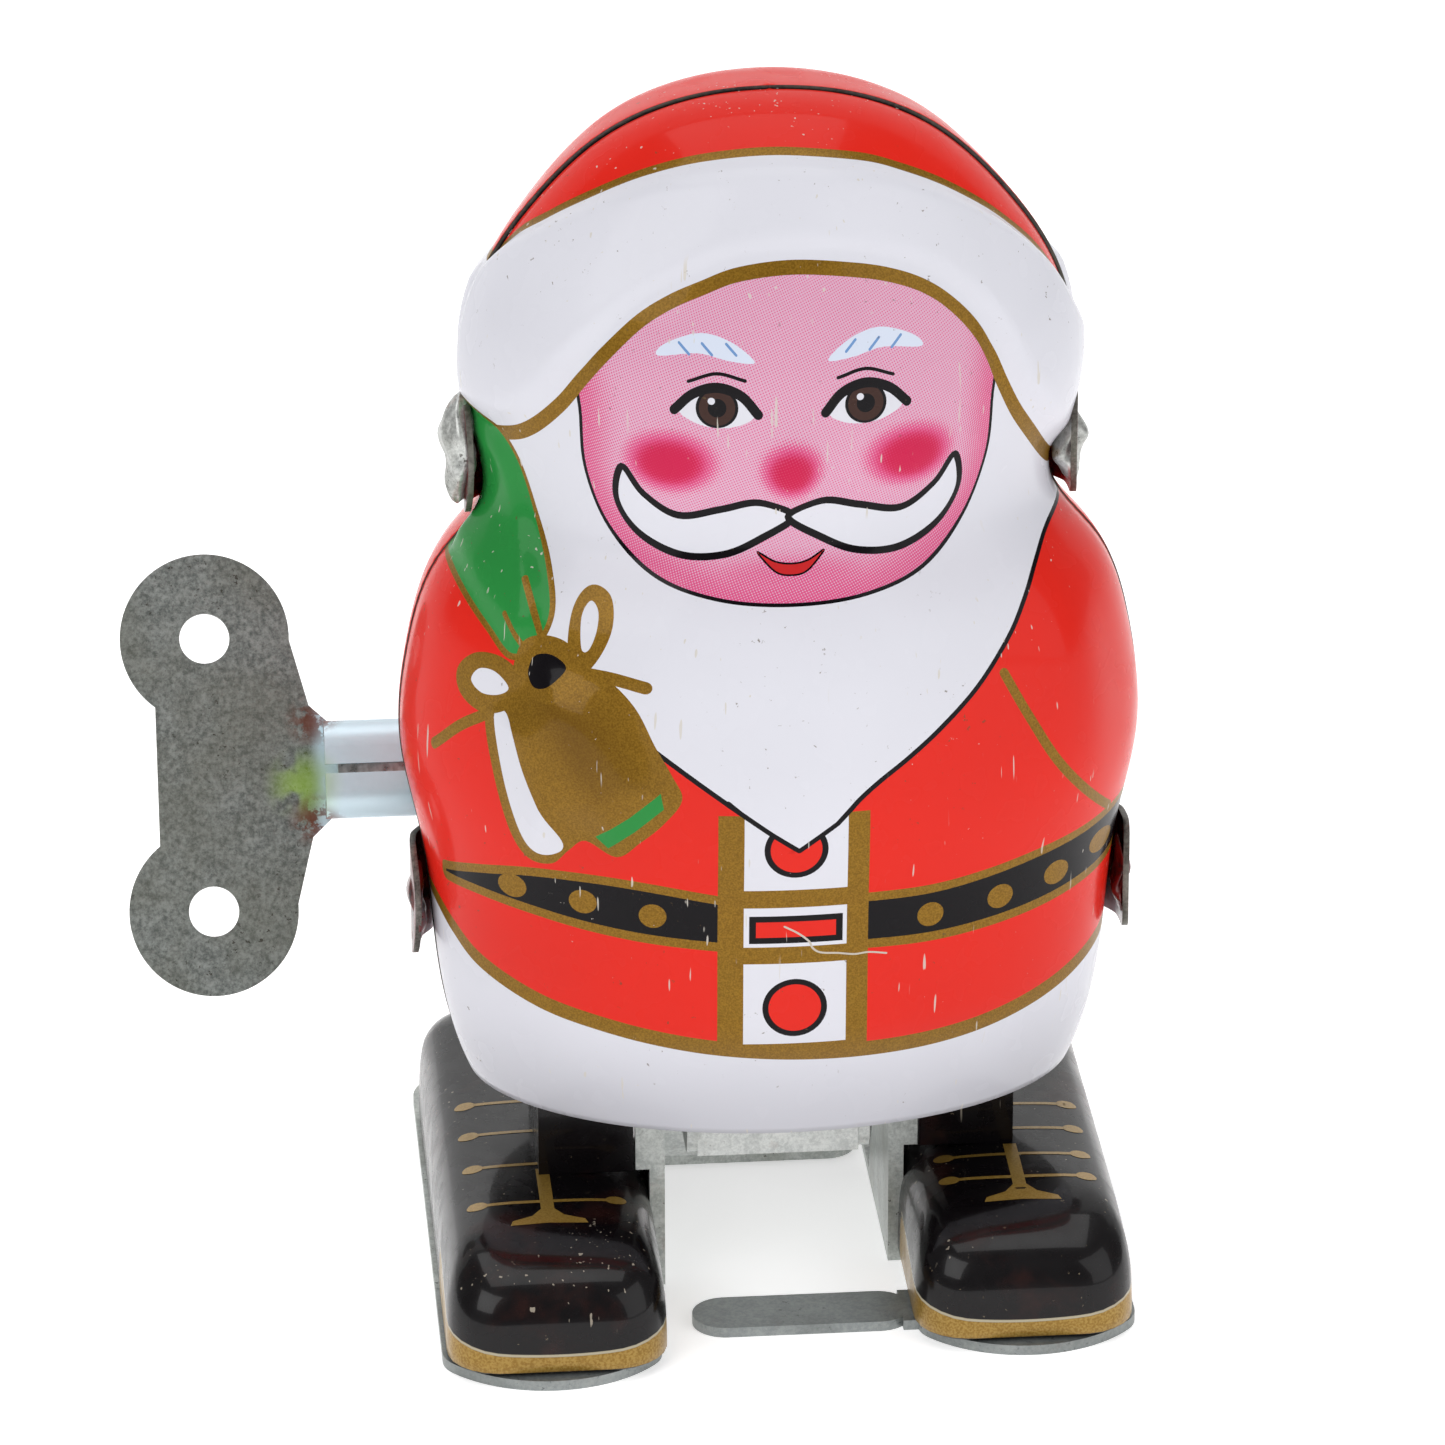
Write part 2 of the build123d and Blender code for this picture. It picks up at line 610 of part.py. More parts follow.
def make_leg(name, side, offset, tab_y, tab_reach):
    """A leg strip bent into its sole plate at the bottom, with a balance tab towards the other foot."""
    sole_middle = (LEG_INNER_X + SOLE_OUTER_X) / 2
    inner = side * LEG_INNER_X
    outer = side * SOLE_OUTER_X
    toe_tip = (side * sole_middle, offset + SOLE_TOE_Y)
    fore_inner = side * SOLE_FORE_INNER_X
    step = offset + LEG_FRONT_Y
    shoulder = offset + SOLE_SHOULDER_Y
    heel = offset + SOLE_HEEL_Y
    tab_end = -side * tab_reach
    tab_middle = (tab_y[0] + tab_y[1]) / 2
    with BuildPart() as leg:
        with BuildSketch() as sole:
            with BuildLine():
                ThreePointArc((fore_inner, shoulder), toe_tip, (outer, shoulder))
                Line((outer, shoulder), (outer, heel))
                Line((outer, heel), (inner, heel))
                Line((inner, heel), (inner, step))
                Line((inner, step), (fore_inner, step))
                Line((fore_inner, step), (fore_inner, shoulder))
            make_face()
            fillet(sole.vertices().sort_by(Axis.Y)[:2], SOLE_TOE_R)
            fillet(sole.vertices().sort_by(Axis.Y)[-2:], SOLE_HEEL_R)
            with Locations(((inner + tab_end) / 2, offset + tab_middle)):
                SlotOverall(abs(tab_end - inner) + 2 * LEG_THICK, tab_y[1] - tab_y[0])
            with Locations(((inner + side * sole_middle) / 2, offset + tab_middle)):
                Rectangle(sole_middle - LEG_INNER_X, tab_y[1] - tab_y[0])
        extrude(amount=SOLE_THICK)
        with BuildSketch(across(inner, offset)):
            with BuildLine():
                Polyline(
                    (LEG_FRONT_Y, 0),
                    *LEG_ANKLE,
                    (CRANK_Y + LEG_TOP_R, LEG_WAIST_Z),
                    (CRANK_Y + LEG_TOP_R, GUIDE_Z),
                    (CRANK_Y - LEG_TOP_R, GUIDE_Z),
                    (LEG_FRONT_Y, LEG_WAIST_Z),
                    close=True,
                )
            make_face()
            with Locations((CRANK_Y, GUIDE_Z)):
                Circle(LEG_TOP_R)
                Circle(GUIDE_WINDOW_R, mode=Mode.SUBTRACT)
            with Locations((CRANK_Y, CRANK_Z)):
                Circle(CRANK_PIN_R + RUNNING_FIT, mode=Mode.SUBTRACT)
        extrude(amount=side * LEG_THICK)
        flange_y = offset + LEG_FRONT_Y + LEG_THICK / 2
        for reach, low, high in (
            (FLANGE_OUTER_X_AT_SHOE, 0, FLANGE_STEP_Z),
            (FLANGE_OUTER_X, FLANGE_STEP_Z, FLANGE_TOP_Z),
        ):
            with BuildSketch(Plane.XY.offset(low)):
                with Locations((side * (LEG_INNER_X + reach) / 2, flange_y)):
                    Rectangle(reach - LEG_INNER_X, LEG_THICK)
            extrude(amount=high - low)
    save(leg, f"leg_{name}")


def shoe_block(side, offset_y, inset):
    """The solid shape of a shoe, drawn in by an inset on every side but the bottom."""
    low_x, high_x = sorted((side * (SHOE_INNER_X + inset), side * (SHOE_OUTER_X - inset)))
    middle = (low_x + high_x) / 2
    toe = offset_y + SHOE_TOE_Y + inset
    toe_shoulder = offset_y + SHOE_TOE_SHOULDER_Y
    heel_shoulder = offset_y + SHOE_HEEL_SHOULDER_Y
    heel = offset_y + SHOE_HEEL_Y - inset
    with BuildPart() as block:
        with BuildSketch(Plane.XY.offset(SOLE_THICK)):
            with BuildLine():
                ThreePointArc((low_x, toe_shoulder), (middle, toe), (high_x, toe_shoulder))
                Line((high_x, toe_shoulder), (high_x, heel_shoulder))
                ThreePointArc((high_x, heel_shoulder), (middle, heel), (low_x, heel_shoulder))
                Line((low_x, heel_shoulder), (low_x, toe_shoulder))
            make_face()
        extrude(amount=SHOE_SHOULDER_Z - SOLE_THICK)
        upper = block.faces().sort_by(Axis.Z)[-1]
        extrude(upper, amount=SHOE_TOP_Z - SHOE_SHOULDER_Z - inset, taper=SHOE_TAPER)
    return block


def make_shoe(name, side, offset_y):
    """A pressed shoe upper on the sole, rounded at toe and heel and open underneath."""
    outside = shoe_block(side, offset_y, 0)
    hollow = shoe_block(side, offset_y, SHEET)
    with BuildPart() as shoe:
        add(outside.part)
        add(hollow.part, mode=Mode.SUBTRACT)
    save(shoe, f"shoe_{name}")


def make_cuff(name, side, offset_y):
    """A channel of black tin beside the leg strip, open towards the strip."""
    low_x, high_x = CUFF_X
    low_y = offset_y + CUFF_Y[0]
    high_y = offset_y + CUFF_Y[1]
    middle_y = (low_y + high_y) / 2
    with BuildPart() as cuff:
        with BuildSketch(Plane.XY.offset(SHOE_TOP_Z)):
            with Locations((side * (low_x + high_x) / 2, middle_y)):
                Rectangle(high_x - low_x, high_y - low_y)
            with Locations((side * (low_x + high_x - SHEET) / 2, middle_y)):
                Rectangle(high_x - low_x - SHEET, high_y - low_y - 2 * SHEET, mode=Mode.SUBTRACT)
        extrude(amount=CUFF_TOP_Z - SHOE_TOP_Z)
    save(cuff, f"cuff_{name}")


# ---- key ----
def key_section(outboard):
    """The plane square to the arbor at a distance outboard: right is the key's front, up its height."""
    return Plane(
        origin=(-outboard, ARBOR_Y, ARBOR_Z),
        x_dir=(0, -cos(KEY_TILT), sin(KEY_TILT)),
        z_dir=(-1, 0, 0),
    )


def make_key():
    """One piece of sheet: a bow with two round lobes, and edges rolled round the arbor's blade."""
    back_face = SHANK_SIZE[0] / 2 - KEY_THICK
    bow_plane = Plane(
        origin=(0, ARBOR_Y + back_face * cos(KEY_TILT), ARBOR_Z - back_face * sin(KEY_TILT)),
        x_dir=(-1, 0, 0),
        z_dir=(0, cos(KEY_TILT), -sin(KEY_TILT)),
    )
    lower_web = [(outboard, -rise) for outboard, rise in reversed(BOW_WEB)]
    with BuildPart() as key:
        with BuildSketch(bow_plane):
            with BuildLine():
                Polyline(*BOW_WEB, *lower_web, close=True)
            make_face()
            with Locations((LOBE_OUTBOARD, LOBE_RISE), (LOBE_OUTBOARD, -LOBE_RISE)):
                Circle(LOBE_R)
                Circle(LOBE_HOLE_R, mode=Mode.SUBTRACT)
        extrude(amount=KEY_THICK)
        with BuildSketch(key_section(SHANK_INBOARD)):
            RectangleRounded(*SHANK_SIZE, SHANK_CORNER_R)
            RectangleRounded(
                SHANK_SIZE[0] - 2 * KEY_THICK,
                SHANK_SIZE[1] - 2 * KEY_THICK,
                SHANK_CORNER_R - KEY_THICK,
                mode=Mode.SUBTRACT,
            )
            with Locations((SHANK_SIZE[0] / 2, 0)):
                Rectangle(2 * KEY_THICK + SHANK_SLIT, SHANK_SLIT, mode=Mode.SUBTRACT)
        extrude(amount=SHANK_OUTBOARD - SHANK_INBOARD)
    save(key, "key")


make_front_shell()
make_back_shell()
make_motor_plates()
make_motor_frame()
make_winding_group()
make_mainspring()
make_crank_group()
make_escapement()
make_guide_studs()
for foot_name, foot_side, foot_offset, foot_tab_y, foot_tab_reach in FEET:
    make_leg(foot_name, foot_side, foot_offset, foot_tab_y, foot_tab_reach)
    make_shoe(foot_name, foot_side, foot_offset)
    make_cuff(foot_name, foot_side, foot_offset)
make_key()
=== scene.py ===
import bmesh
import bpy
from math import cos, pi, radians, sin, sqrt

import numpy as np
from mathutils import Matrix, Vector
from mathutils.bvhtree import BVHTree
from mathutils.geometry import delaunay_2d_cdt


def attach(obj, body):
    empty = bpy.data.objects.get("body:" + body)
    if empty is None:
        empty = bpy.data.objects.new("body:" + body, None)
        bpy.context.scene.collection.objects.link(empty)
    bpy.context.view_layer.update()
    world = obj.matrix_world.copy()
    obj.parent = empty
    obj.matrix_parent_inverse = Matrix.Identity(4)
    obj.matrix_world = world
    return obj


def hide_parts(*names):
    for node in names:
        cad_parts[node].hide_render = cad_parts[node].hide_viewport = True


# The looks of the clockwork tin figure. Print shapes are in millimetres, (across, up) as seen from the
# front, and mesh_from scales them to metres. The lights and the camera are placed in metres.
MM = 0.001

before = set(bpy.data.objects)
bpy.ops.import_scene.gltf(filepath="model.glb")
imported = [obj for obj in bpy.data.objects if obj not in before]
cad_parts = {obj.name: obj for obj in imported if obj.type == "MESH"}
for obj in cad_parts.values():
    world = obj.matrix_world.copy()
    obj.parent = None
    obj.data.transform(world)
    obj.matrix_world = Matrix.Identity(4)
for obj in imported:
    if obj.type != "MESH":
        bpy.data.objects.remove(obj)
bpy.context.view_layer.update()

# ---- the body's skin, as in the CAD ----
TOP_Z = 92.8
HEM_Z = 16.0
FRONT_DEPTH = 0.65
BACK_DEPTH = 0.80
BODY_PROFILE = [
    (22.9, HEM_Z), (24.6, 21.5), (25.5, 29.0), (26.2, 35.0), (27.6, 42.5), (26.9, 50.5), (24.3, 57.5),
    (20.9, 62.3), (21.4, 68.0), (22.2, 73.0), (20.9, 79.0), (17.1, 84.8), (12.0, 89.6), (6.2, 92.1),
    (0, TOP_Z),
]
HEM_SLOPE = (0.41, 0.912)  # the profile's direction at the hem
EAR_SITES = [(65.6, 21.2, 4.5), (30.0, 25.65, 4.4)]  # (height, half-width of the body, half-height)
KEY_HOLE = (8.5, 36.5, 4.6)  # (back, up, radius)
WRAP_R = 24.0  # radius that turns an angle round the body into millimetres across the print
SEAM_ANGLE = radians(89.8)  # the skin stops just short of the seam plane
SKIN_WIDTH = SEAM_ANGLE * WRAP_R  # half the width of each half's unrolled print
SHEET = 0.45  # thickness of the printed tin and of the ears
GRID = 0.62  # spacing of the skin's mesh


def srgb(red, green, blue):
    """A colour given in 0 to 255 as the linear values that shaders use."""
    values = []
    for level in (red, green, blue):
        part = level / 255
        values.append(part / 12.92 if part <= 0.04045 else ((part + 0.055) / 1.055) ** 2.4)
    return tuple(values) + (1.0,)


INK = {
    "red": srgb(224, 38, 26),
    "white": srgb(220, 220, 228),
    "gold": srgb(146, 108, 40),
    "bell": srgb(150, 108, 34),
    "green": srgb(40, 138, 62),
    "black": srgb(9, 6, 10),
    "flesh": srgb(228, 168, 196),
    "iris": srgb(62, 40, 34),
    "brow": srgb(214, 222, 238),
    "shade": srgb(112, 150, 200),
    "mouth": srgb(196, 40, 42),
    "scratch": srgb(196, 188, 176),
}


# ---- curves ----
def spline_samples(points, start, end, count):
    """Samples of the smooth cubic through the points, with unit directions at both ends."""
    p = np.array(points, float)
    knots = np.concatenate([[0], np.cumsum(np.hypot(*np.diff(p, axis=0).T))])
    gap = np.diff(knots)
    size = len(p)
    system = np.zeros((size, size))
    right = np.zeros((size, 2))
    system[0, 0] = system[-1, -1] = 1
    right[0], right[-1] = start, end
    for i in range(1, size - 1):
        system[i, i - 1:i + 2] = gap[i], 2 * (gap[i - 1] + gap[i]), gap[i - 1]
        right[i] = 3 * (gap[i] * (p[i] - p[i - 1]) / gap[i - 1] + gap[i - 1] * (p[i + 1] - p[i]) / gap[i])
    slope = np.linalg.solve(system, right)
    at = np.linspace(0, knots[-1], count)
    k = np.clip(np.searchsorted(knots, at, side="right") - 1, 0, size - 2)
    t = ((at - knots[k]) / gap[k])[:, None]
    h = gap[k][:, None]
    return (
        (2 * t**3 - 3 * t**2 + 1) * p[k]
        + (t**3 - 2 * t**2 + t) * h * slope[k]
        + (3 * t**2 - 2 * t**3) * p[k + 1]
        + (t**3 - t**2) * h * slope[k + 1]
    )


def smooth(points, closed=False, steps=6):
    """A rounded line through a few points."""
    p = [np.array(q, float) for q in points]
    if closed:
        p = [p[-1]] + p + p[:2]
    else:
        p = [2 * p[0] - p[1]] + p + [2 * p[-1] - p[-2]]
    line = []
    for a, b, c, d in zip(p, p[1:], p[2:], p[3:]):
        for step in range(steps):
            t = step / steps
            line.append(
                0.5 * (2 * b + (c - a) * t + (2 * a - 5 * b + 4 * c - d) * t**2
                       + (3 * b - 3 * c + d - a) * t**3)
            )
    if not closed:
        line.append(p[-2])
    return [tuple(q) for q in line]


def oval(x, z, half_width, half_height, count=40):
    """A closed ellipse."""
    angles = [2 * pi * k / count for k in range(count)]
    return [(x + half_width * cos(a), z + half_height * sin(a)) for a in angles]


def box(x0, z0, x1, z1):
    """A closed rectangle with enough points along its sides to follow the body."""
    steps = 8
    across = [x0 + (x1 - x0) * k / steps for k in range(steps)]
    up = [z0 + (z1 - z0) * k / steps for k in range(steps)]
    ring = [(x, z0) for x in across]
    ring += [(x1, z) for z in up]
    ring += [(x0 + x1 - x, z1) for x in across]
    ring += [(x0, z0 + z1 - z) for z in up]
    return ring


def unit(vectors):
    """Vectors scaled to a length of one."""
    return vectors / np.maximum(np.linalg.norm(vectors, axis=1), 1e-9)[:, None]


def stroke(line, width, closed=False, round_ends=True):
    """The outline of a line drawn with a pen of a given width, or of a band round a closed line."""
    p = np.array(line, float)
    ahead = np.roll(p, -1, axis=0) - p
    behind = p - np.roll(p, 1, axis=0)
    if not closed:
        ahead[-1] = behind[-1]
        behind[0] = ahead[0]
    along = unit(unit(ahead) + unit(behind))
    normal = np.stack([-along[:, 1], along[:, 0]], -1) * width / 2
    left, right = p + normal, p - normal
    if closed:
        return [left, right]
    ends = []
    for tip, direction, side in ((p[-1], along[-1], normal[-1]), (p[0], -along[0], -normal[0])):
        angles = [pi * k / 6 for k in range(1, 6)] if round_ends else []
        ends.append([tip + side * cos(a) + direction * (width / 2) * sin(a) for a in angles])
    return [np.array(list(left) + ends[0] + list(right[::-1]) + ends[1])]


def inside(points, ring):
    """Which points lie inside a closed ring."""
    ring = np.asarray(ring, float)
    found = np.zeros(len(points), bool)
    low, high = ring.min(0), ring.max(0)
    near = np.where(((points >= low) & (points <= high)).all(1))[0]
    x, y = points[near, 0], points[near, 1]
    hit = np.zeros(len(near), bool)
    for (x0, y0), (x1, y1) in zip(ring, np.roll(ring, -1, axis=0)):
        if y0 == y1:
            continue
        crosses = (y0 > y) != (y1 > y)
        hit ^= crosses & (x < x0 + (y - y0) * (x1 - x0) / (y1 - y0))
    found[near] = hit
    return found


def edge_distance(points, a, b):
    """How far each point is from the straight line between a and b."""
    edge = b - a
    t = np.clip(((points - a) @ edge) / max(edge @ edge, 1e-12), 0, 1)
    return np.linalg.norm(points - (a + t[:, None] * edge), axis=1)


def depth_inside(points, ring):
    """How deep each point is inside a closed ring, in millimetres, and 0 outside."""
    ring = np.asarray(ring, float)
    depth = np.zeros(len(points))
    near = np.where(inside(points, ring))[0]
    best = np.full(len(near), 1e9)
    for a, b in zip(ring, np.roll(ring, -1, axis=0)):
        best = np.minimum(best, edge_distance(points[near], a, b))
    depth[near] = best
    return depth


def ease(value):
    """0 to 1 with level ends."""
    value = np.clip(value, 0, 1)
    return value * value * (3 - 2 * value)


# ---- the body's skin ----
profile = spline_samples(BODY_PROFILE, HEM_SLOPE, (-1, 0), 1200)
profile_run = np.concatenate([[0], np.cumsum(np.hypot(*np.diff(profile, axis=0).T))])
profile_end = profile_run[-1]


def half_width(z):
    """Half-width of the body in the seam plane at a height."""
    return np.interp(z, profile[:, 1], profile[:, 0])


def run_at(z):
    """How far along the profile a height is."""
    return np.interp(z, profile[:, 1], profile_run)


def wide_at(run):
    """Half-width of the body at a distance along the profile."""
    return np.interp(run, profile_run, profile[:, 0])


def high_at(run):
    """Height at a distance along the profile."""
    return np.interp(run, profile_run, profile[:, 1])


def to_print(points):
    """Front-view millimetres as a place on the unrolled print: round the body, and along its profile."""
    p = np.asarray(points, float)
    run = run_at(p[:, 1])
    angle = np.arcsin(np.clip(p[:, 0] / np.maximum(wide_at(run), 1e-6), -1, 1))
    return np.stack([angle * WRAP_R, run], -1)


def skin_points(flat, depth, lift):
    """Places on the body in millimetres, raised outwards by lift; depth is negative for the front."""
    angle, run = flat[:, 0] / WRAP_R, flat[:, 1]
    wide = wide_at(run)
    step = 0.05
    ahead, back = np.clip(run + step, 0, profile_end), np.clip(run - step, 0, profile_end)
    wide_slope = (wide_at(ahead) - wide_at(back)) / (ahead - back)
    high_slope = (high_at(ahead) - high_at(back)) / (ahead - back)
    along = np.stack([wide_slope * np.sin(angle), depth * wide_slope * np.cos(angle), high_slope], -1)
    round_it = np.stack([np.cos(angle), -depth * np.sin(angle), np.zeros_like(angle)], -1)
    normal = unit(np.cross(round_it, along) * (1 if depth < 0 else -1))
    place = np.stack([wide * np.sin(angle), depth * wide * np.cos(angle), high_at(run)], -1)
    return place + normal * np.asarray(lift)[:, None]


def new_object(name, data):
    """An object for a mesh, a lamp or a camera, in the scene."""
    obj = bpy.data.objects.new(name, data)
    bpy.context.scene.collection.objects.link(obj)
    return obj


def mesh_from(name, places, faces):
    """A smooth mesh object from places in millimetres."""
    mesh = bpy.data.meshes.new(name)
    mesh.from_pydata([tuple(float(c) * MM for c in place) for place in places], [], faces)
    mesh.update()
    mesh.shade_smooth()
    return new_object(name, mesh)


def modify(obj, name, kind, **settings):
    """Adds a modifier with its settings."""
    made = obj.modifiers.new(name, kind)
    for setting, value in settings.items():
        setattr(made, setting, value)


def write_layer(mesh, name, values, domain="POINT", kind="FLOAT", field="value"):
    """Stores values on a mesh under a name, for its material to read."""
    layer = mesh.attributes.new(name, kind, domain)
    layer.data.foreach_set(field, np.asarray(values, np.float32).ravel())


def tidy_ring(ring, least=0.06):
    """A ring without points that nearly coincide."""
    kept = []
    for point in ring:
        if not kept or np.linalg.norm(np.asarray(point) - kept[-1]) > least:
            kept.append(np.asarray(point, float))
    while len(kept) > 3 and np.linalg.norm(kept[0] - kept[-1]) <= least:
        kept.pop()
    return kept


def fine_ring(ring, longest):
    """A ring whose edges are no longer than a given length."""
    fine = []
    for a, b in zip(ring, ring[1:] + ring[:1]):
        steps = max(int(np.ceil(np.linalg.norm(b - a) / longest)), 1)
        fine += [a + (b - a) * k / steps for k in range(steps)]
    return fine


def triangulate(rings, width, height, spacing, margin=0.2):
    """Triangles over a rectangle, with every ring's outline among their edges."""
    rows = int(height / (spacing * 0.87))
    columns = int(2 * width / spacing)
    lattice = []
    for row in range(1, rows):
        shift = spacing / 2 if row % 2 else 0
        for column in range(columns):
            lattice.append((-width + spacing / 2 + shift + column * spacing, height * row / rows))
    lattice = np.array(lattice)
    lattice = lattice[np.abs(lattice[:, 0]) < width - spacing * 0.4]
    points = []
    edges = []
    clear = np.ones(len(lattice), bool)
    for ring in rings:
        ring = fine_ring(tidy_ring(ring), spacing)
        first = len(points)
        points += ring
        edges += [(first + k, first + (k + 1) % len(ring)) for k in range(len(ring))]
        for a, b in zip(ring, ring[1:] + ring[:1]):
            low, high = np.minimum(a, b) - margin, np.maximum(a, b) + margin
            near = np.where(((lattice > low) & (lattice < high)).all(1))[0]
            clear[near[edge_distance(lattice[near], a, b) < margin]] = False
    border = [(-width + k * spacing, 0.0) for k in range(columns)]
    border += [(width, height * k / rows) for k in range(rows)]
    border += [(width - k * spacing, height) for k in range(columns)]
    border += [(-width, height * (rows - k) / rows) for k in range(rows)]
    first = len(points)
    points += [np.array(q) for q in border]
    edges += [(first + k, first + (k + 1) % len(border)) for k in range(len(border))]
    points += list(lattice[clear])
    made = delaunay_2d_cdt([Vector((float(q[0]), float(q[1]))) for q in points], edges, [], 0, 1e-5)
    flat = np.array([(v.x, v.y) for v in made[0]])
    return flat, [tuple(face) for face in made[2]]


def make_skin(name, depth, layers, relief, tone, hole=None):
    """One printed half of the body. layers are (ink, rings), painted in order; relief raises the skin."""
    height = profile_end - 0.02
    rings = [np.clip(ring, (-SKIN_WIDTH, 0), (SKIN_WIDTH, height)) for _, group in layers for ring in group]
    if hole is not None:
        rings.append(hole)
    flat, faces = triangulate(rings, SKIN_WIDTH, height, GRID)
    centre = flat[np.array(faces)].mean(1)
    kept = ~inside(centre, hole) if hole is not None else np.ones(len(faces), bool)
    ink = np.array([INK["red"]] * len(faces))
    kind = np.array(["red"] * len(faces), dtype=object)
    for colour, group in layers:
        covered = np.zeros(len(faces), bool)
        for ring in group:
            covered ^= inside(centre, ring)
        ink[covered] = INK[colour]
        kind[covered] = colour
    ink, kind = ink[kept], kind[kept]
    faces = [face for face, keep in zip(faces, kept) if keep]
    obj = mesh_from(name, skin_points(flat, depth, relief(flat)), faces)
    mesh = obj.data
    corner = mesh.color_attributes.new("ink", "FLOAT_COLOR", "CORNER")
    corner.data.foreach_set("color", np.repeat(ink, 3, axis=0).astype(np.float32).ravel())
    for attribute, names in (("gilt", ("gold", "bell")), ("flesh", ("flesh",)), ("bell", ("bell",))):
        write_layer(mesh, attribute, np.isin(kind, names), "FACE")
    write_layer(mesh, "tone", tone(flat))
    write_layer(mesh, "print_place", np.c_[flat, np.zeros(len(flat))], kind="FLOAT_VECTOR", field="vector")
    work = bmesh.new()
    work.from_mesh(mesh)
    bmesh.ops.remove_doubles(work, verts=work.verts, dist=0.01 * MM)
    bmesh.ops.delete(work, geom=[v for v in work.verts if not v.link_faces], context="VERTS")
    bmesh.ops.recalc_face_normals(work, faces=work.faces)
    work.to_mesh(mesh)
    work.free()
    modify(obj, "wall", "SOLIDIFY", thickness=SHEET * MM, offset=-1, material_offset=1,
           material_offset_rim=2)
    return obj


# ---- the front's print; right and left are the figure's own ----
def area(points, rounded=True):
    """A closed shape on the print."""
    return [to_print(smooth(points, closed=True) if rounded else points)]


def disc(x, z, across, up, count=40):
    """An oval on the print."""
    return [to_print(oval(x, z, across, up, count))]


def block(*corners):
    """A rectangle on the print."""
    return [to_print(box(*corners))]


def line(points, width, rounded=True, closed=False):
    """A line drawn on the print."""
    path = to_print(smooth(points, closed=closed, steps=8) if rounded else points)
    return stroke(path, width, closed=closed)


def between(low, high):
    """The shape between two lines that run the same way."""
    return [to_print(smooth(low) + smooth(high)[::-1])]


BRIM_TOP = [
    (-23, 76), (-19.1, 82.1), (-16.2, 84.9), (-12.7, 87.2), (-9.1, 88.9), (-5.0, 90.0), (0, 90.4),
    (5.5, 89.8), (9.0, 88.7), (12.6, 86.9), (16.4, 84.1), (19.9, 80.2), (23, 74),
]
BRIM_LOW = [
    (-23, 67.6), (-19.8, 69.0), (-18.1, 70.2), (-16.0, 72.7), (-14.4, 75.0), (-12.4, 77.4),
    (-10.3, 79.5), (-8.2, 80.9), (-6.0, 81.9), (-3.2, 82.9), (0.8, 83.3), (5.4, 82.8), (8.4, 82.0),
    (10.6, 80.9), (12.4, 79.4), (13.9, 77.6), (15.1, 75.5), (16.0, 73.3), (17.1, 70.8), (18.5, 68.2),
    (20.4, 64.6), (22.4, 61.6),
]
BEARD_LEFT = [
    (22.4, 61.6), (20.1, 60.6), (18.7, 58.9), (17.6, 56.9), (16.3, 54.6), (13.9, 51.5), (11.1, 48.9),
    (8.7, 47.0), (6.5, 45.4), (4.9, 44.0), (3.4, 42.3), (0.6, 40.2),
]
BEARD_RIGHT = [
    (0.6, 40.2), (-1.5, 41.7), (-3.7, 43.4), (-6.6, 45.6), (-10.2, 48.3), (-13.8, 51.0), (-17.0, 54.4),
    (-18.4, 58.6), (-19.2, 62.8), (-20.4, 66.4), (-21.6, 69.0),
]
MITTEN = [
    (-23.5, 70.5), (-20.6, 69.5), (-18.9, 67.2), (-17.6, 63.0), (-16.9, 59.8), (-16.9, 57.0),
    (-18.2, 54.6), (-19.9, 53.6), (-21.4, 55.1), (-22.8, 56.6), (-24.2, 58.2), (-26, 60),
]
POUCH = [
    (-19.4, 51.6), (-17.9, 53.6), (-15.9, 54.0), (-13.3, 53.2), (-11.2, 51.2), (-9.8, 48.4),
    (-8.6, 46.2), (-7.9, 44.4), (-9.2, 42.4), (-10.9, 40.7), (-12.6, 39.3), (-14.8, 40.4),
    (-16.0, 39.4), (-17.2, 38.0), (-18.9, 38.1), (-20.2, 40.2), (-21.3, 44.6), (-21.8, 48.8),
    (-20.9, 50.4),
]
POUCH_BODY = [
    (-19.0, 50.8), (-17.2, 52.8), (-14.4, 52.8), (-12.0, 51.0), (-10.3, 47.9), (-9.3, 45.4),
    (-10.6, 43.3), (-12.4, 41.7), (-14.9, 41.5), (-16.8, 44.6), (-18.3, 47.9),
]
POUCH_SIDE = [
    (-21.1, 48.9), (-20.4, 49.6), (-19.7, 48.6), (-18.9, 45.6), (-17.6, 42.4), (-16.4, 39.9),
    (-17.0, 38.9), (-18.3, 38.8), (-19.4, 40.3), (-20.5, 44.2),
]
POUCH_HEM = [(-14.1, 40.9), (-13.2, 40.0), (-11.3, 41.6), (-9.2, 43.6), (-9.4, 44.9), (-11.6, 42.9)]
BOW_NEAR = [
    (-15.5, 53.8), (-15.4, 56.2), (-14.9, 58.0), (-14.0, 59.0), (-13.0, 58.5), (-13.0, 56.8),
    (-13.8, 55.0), (-14.9, 53.6),
]
BOW_NEAR_GAP = [(-14.9, 55.1), (-14.8, 57.2), (-14.1, 58.3), (-13.6, 57.7), (-13.8, 56.3), (-14.4, 55.0)]
BOW_FAR = [
    (-19.2, 51.7), (-20.5, 52.9), (-22.2, 52.8), (-23.4, 51.5), (-23.2, 50.1), (-21.8, 49.4), (-20.0, 50.3),
]
BOW_FAR_GAP = [(-20.1, 51.3), (-21.0, 52.2), (-22.1, 52.1), (-22.7, 51.1), (-22.0, 50.4), (-20.8, 50.6)]
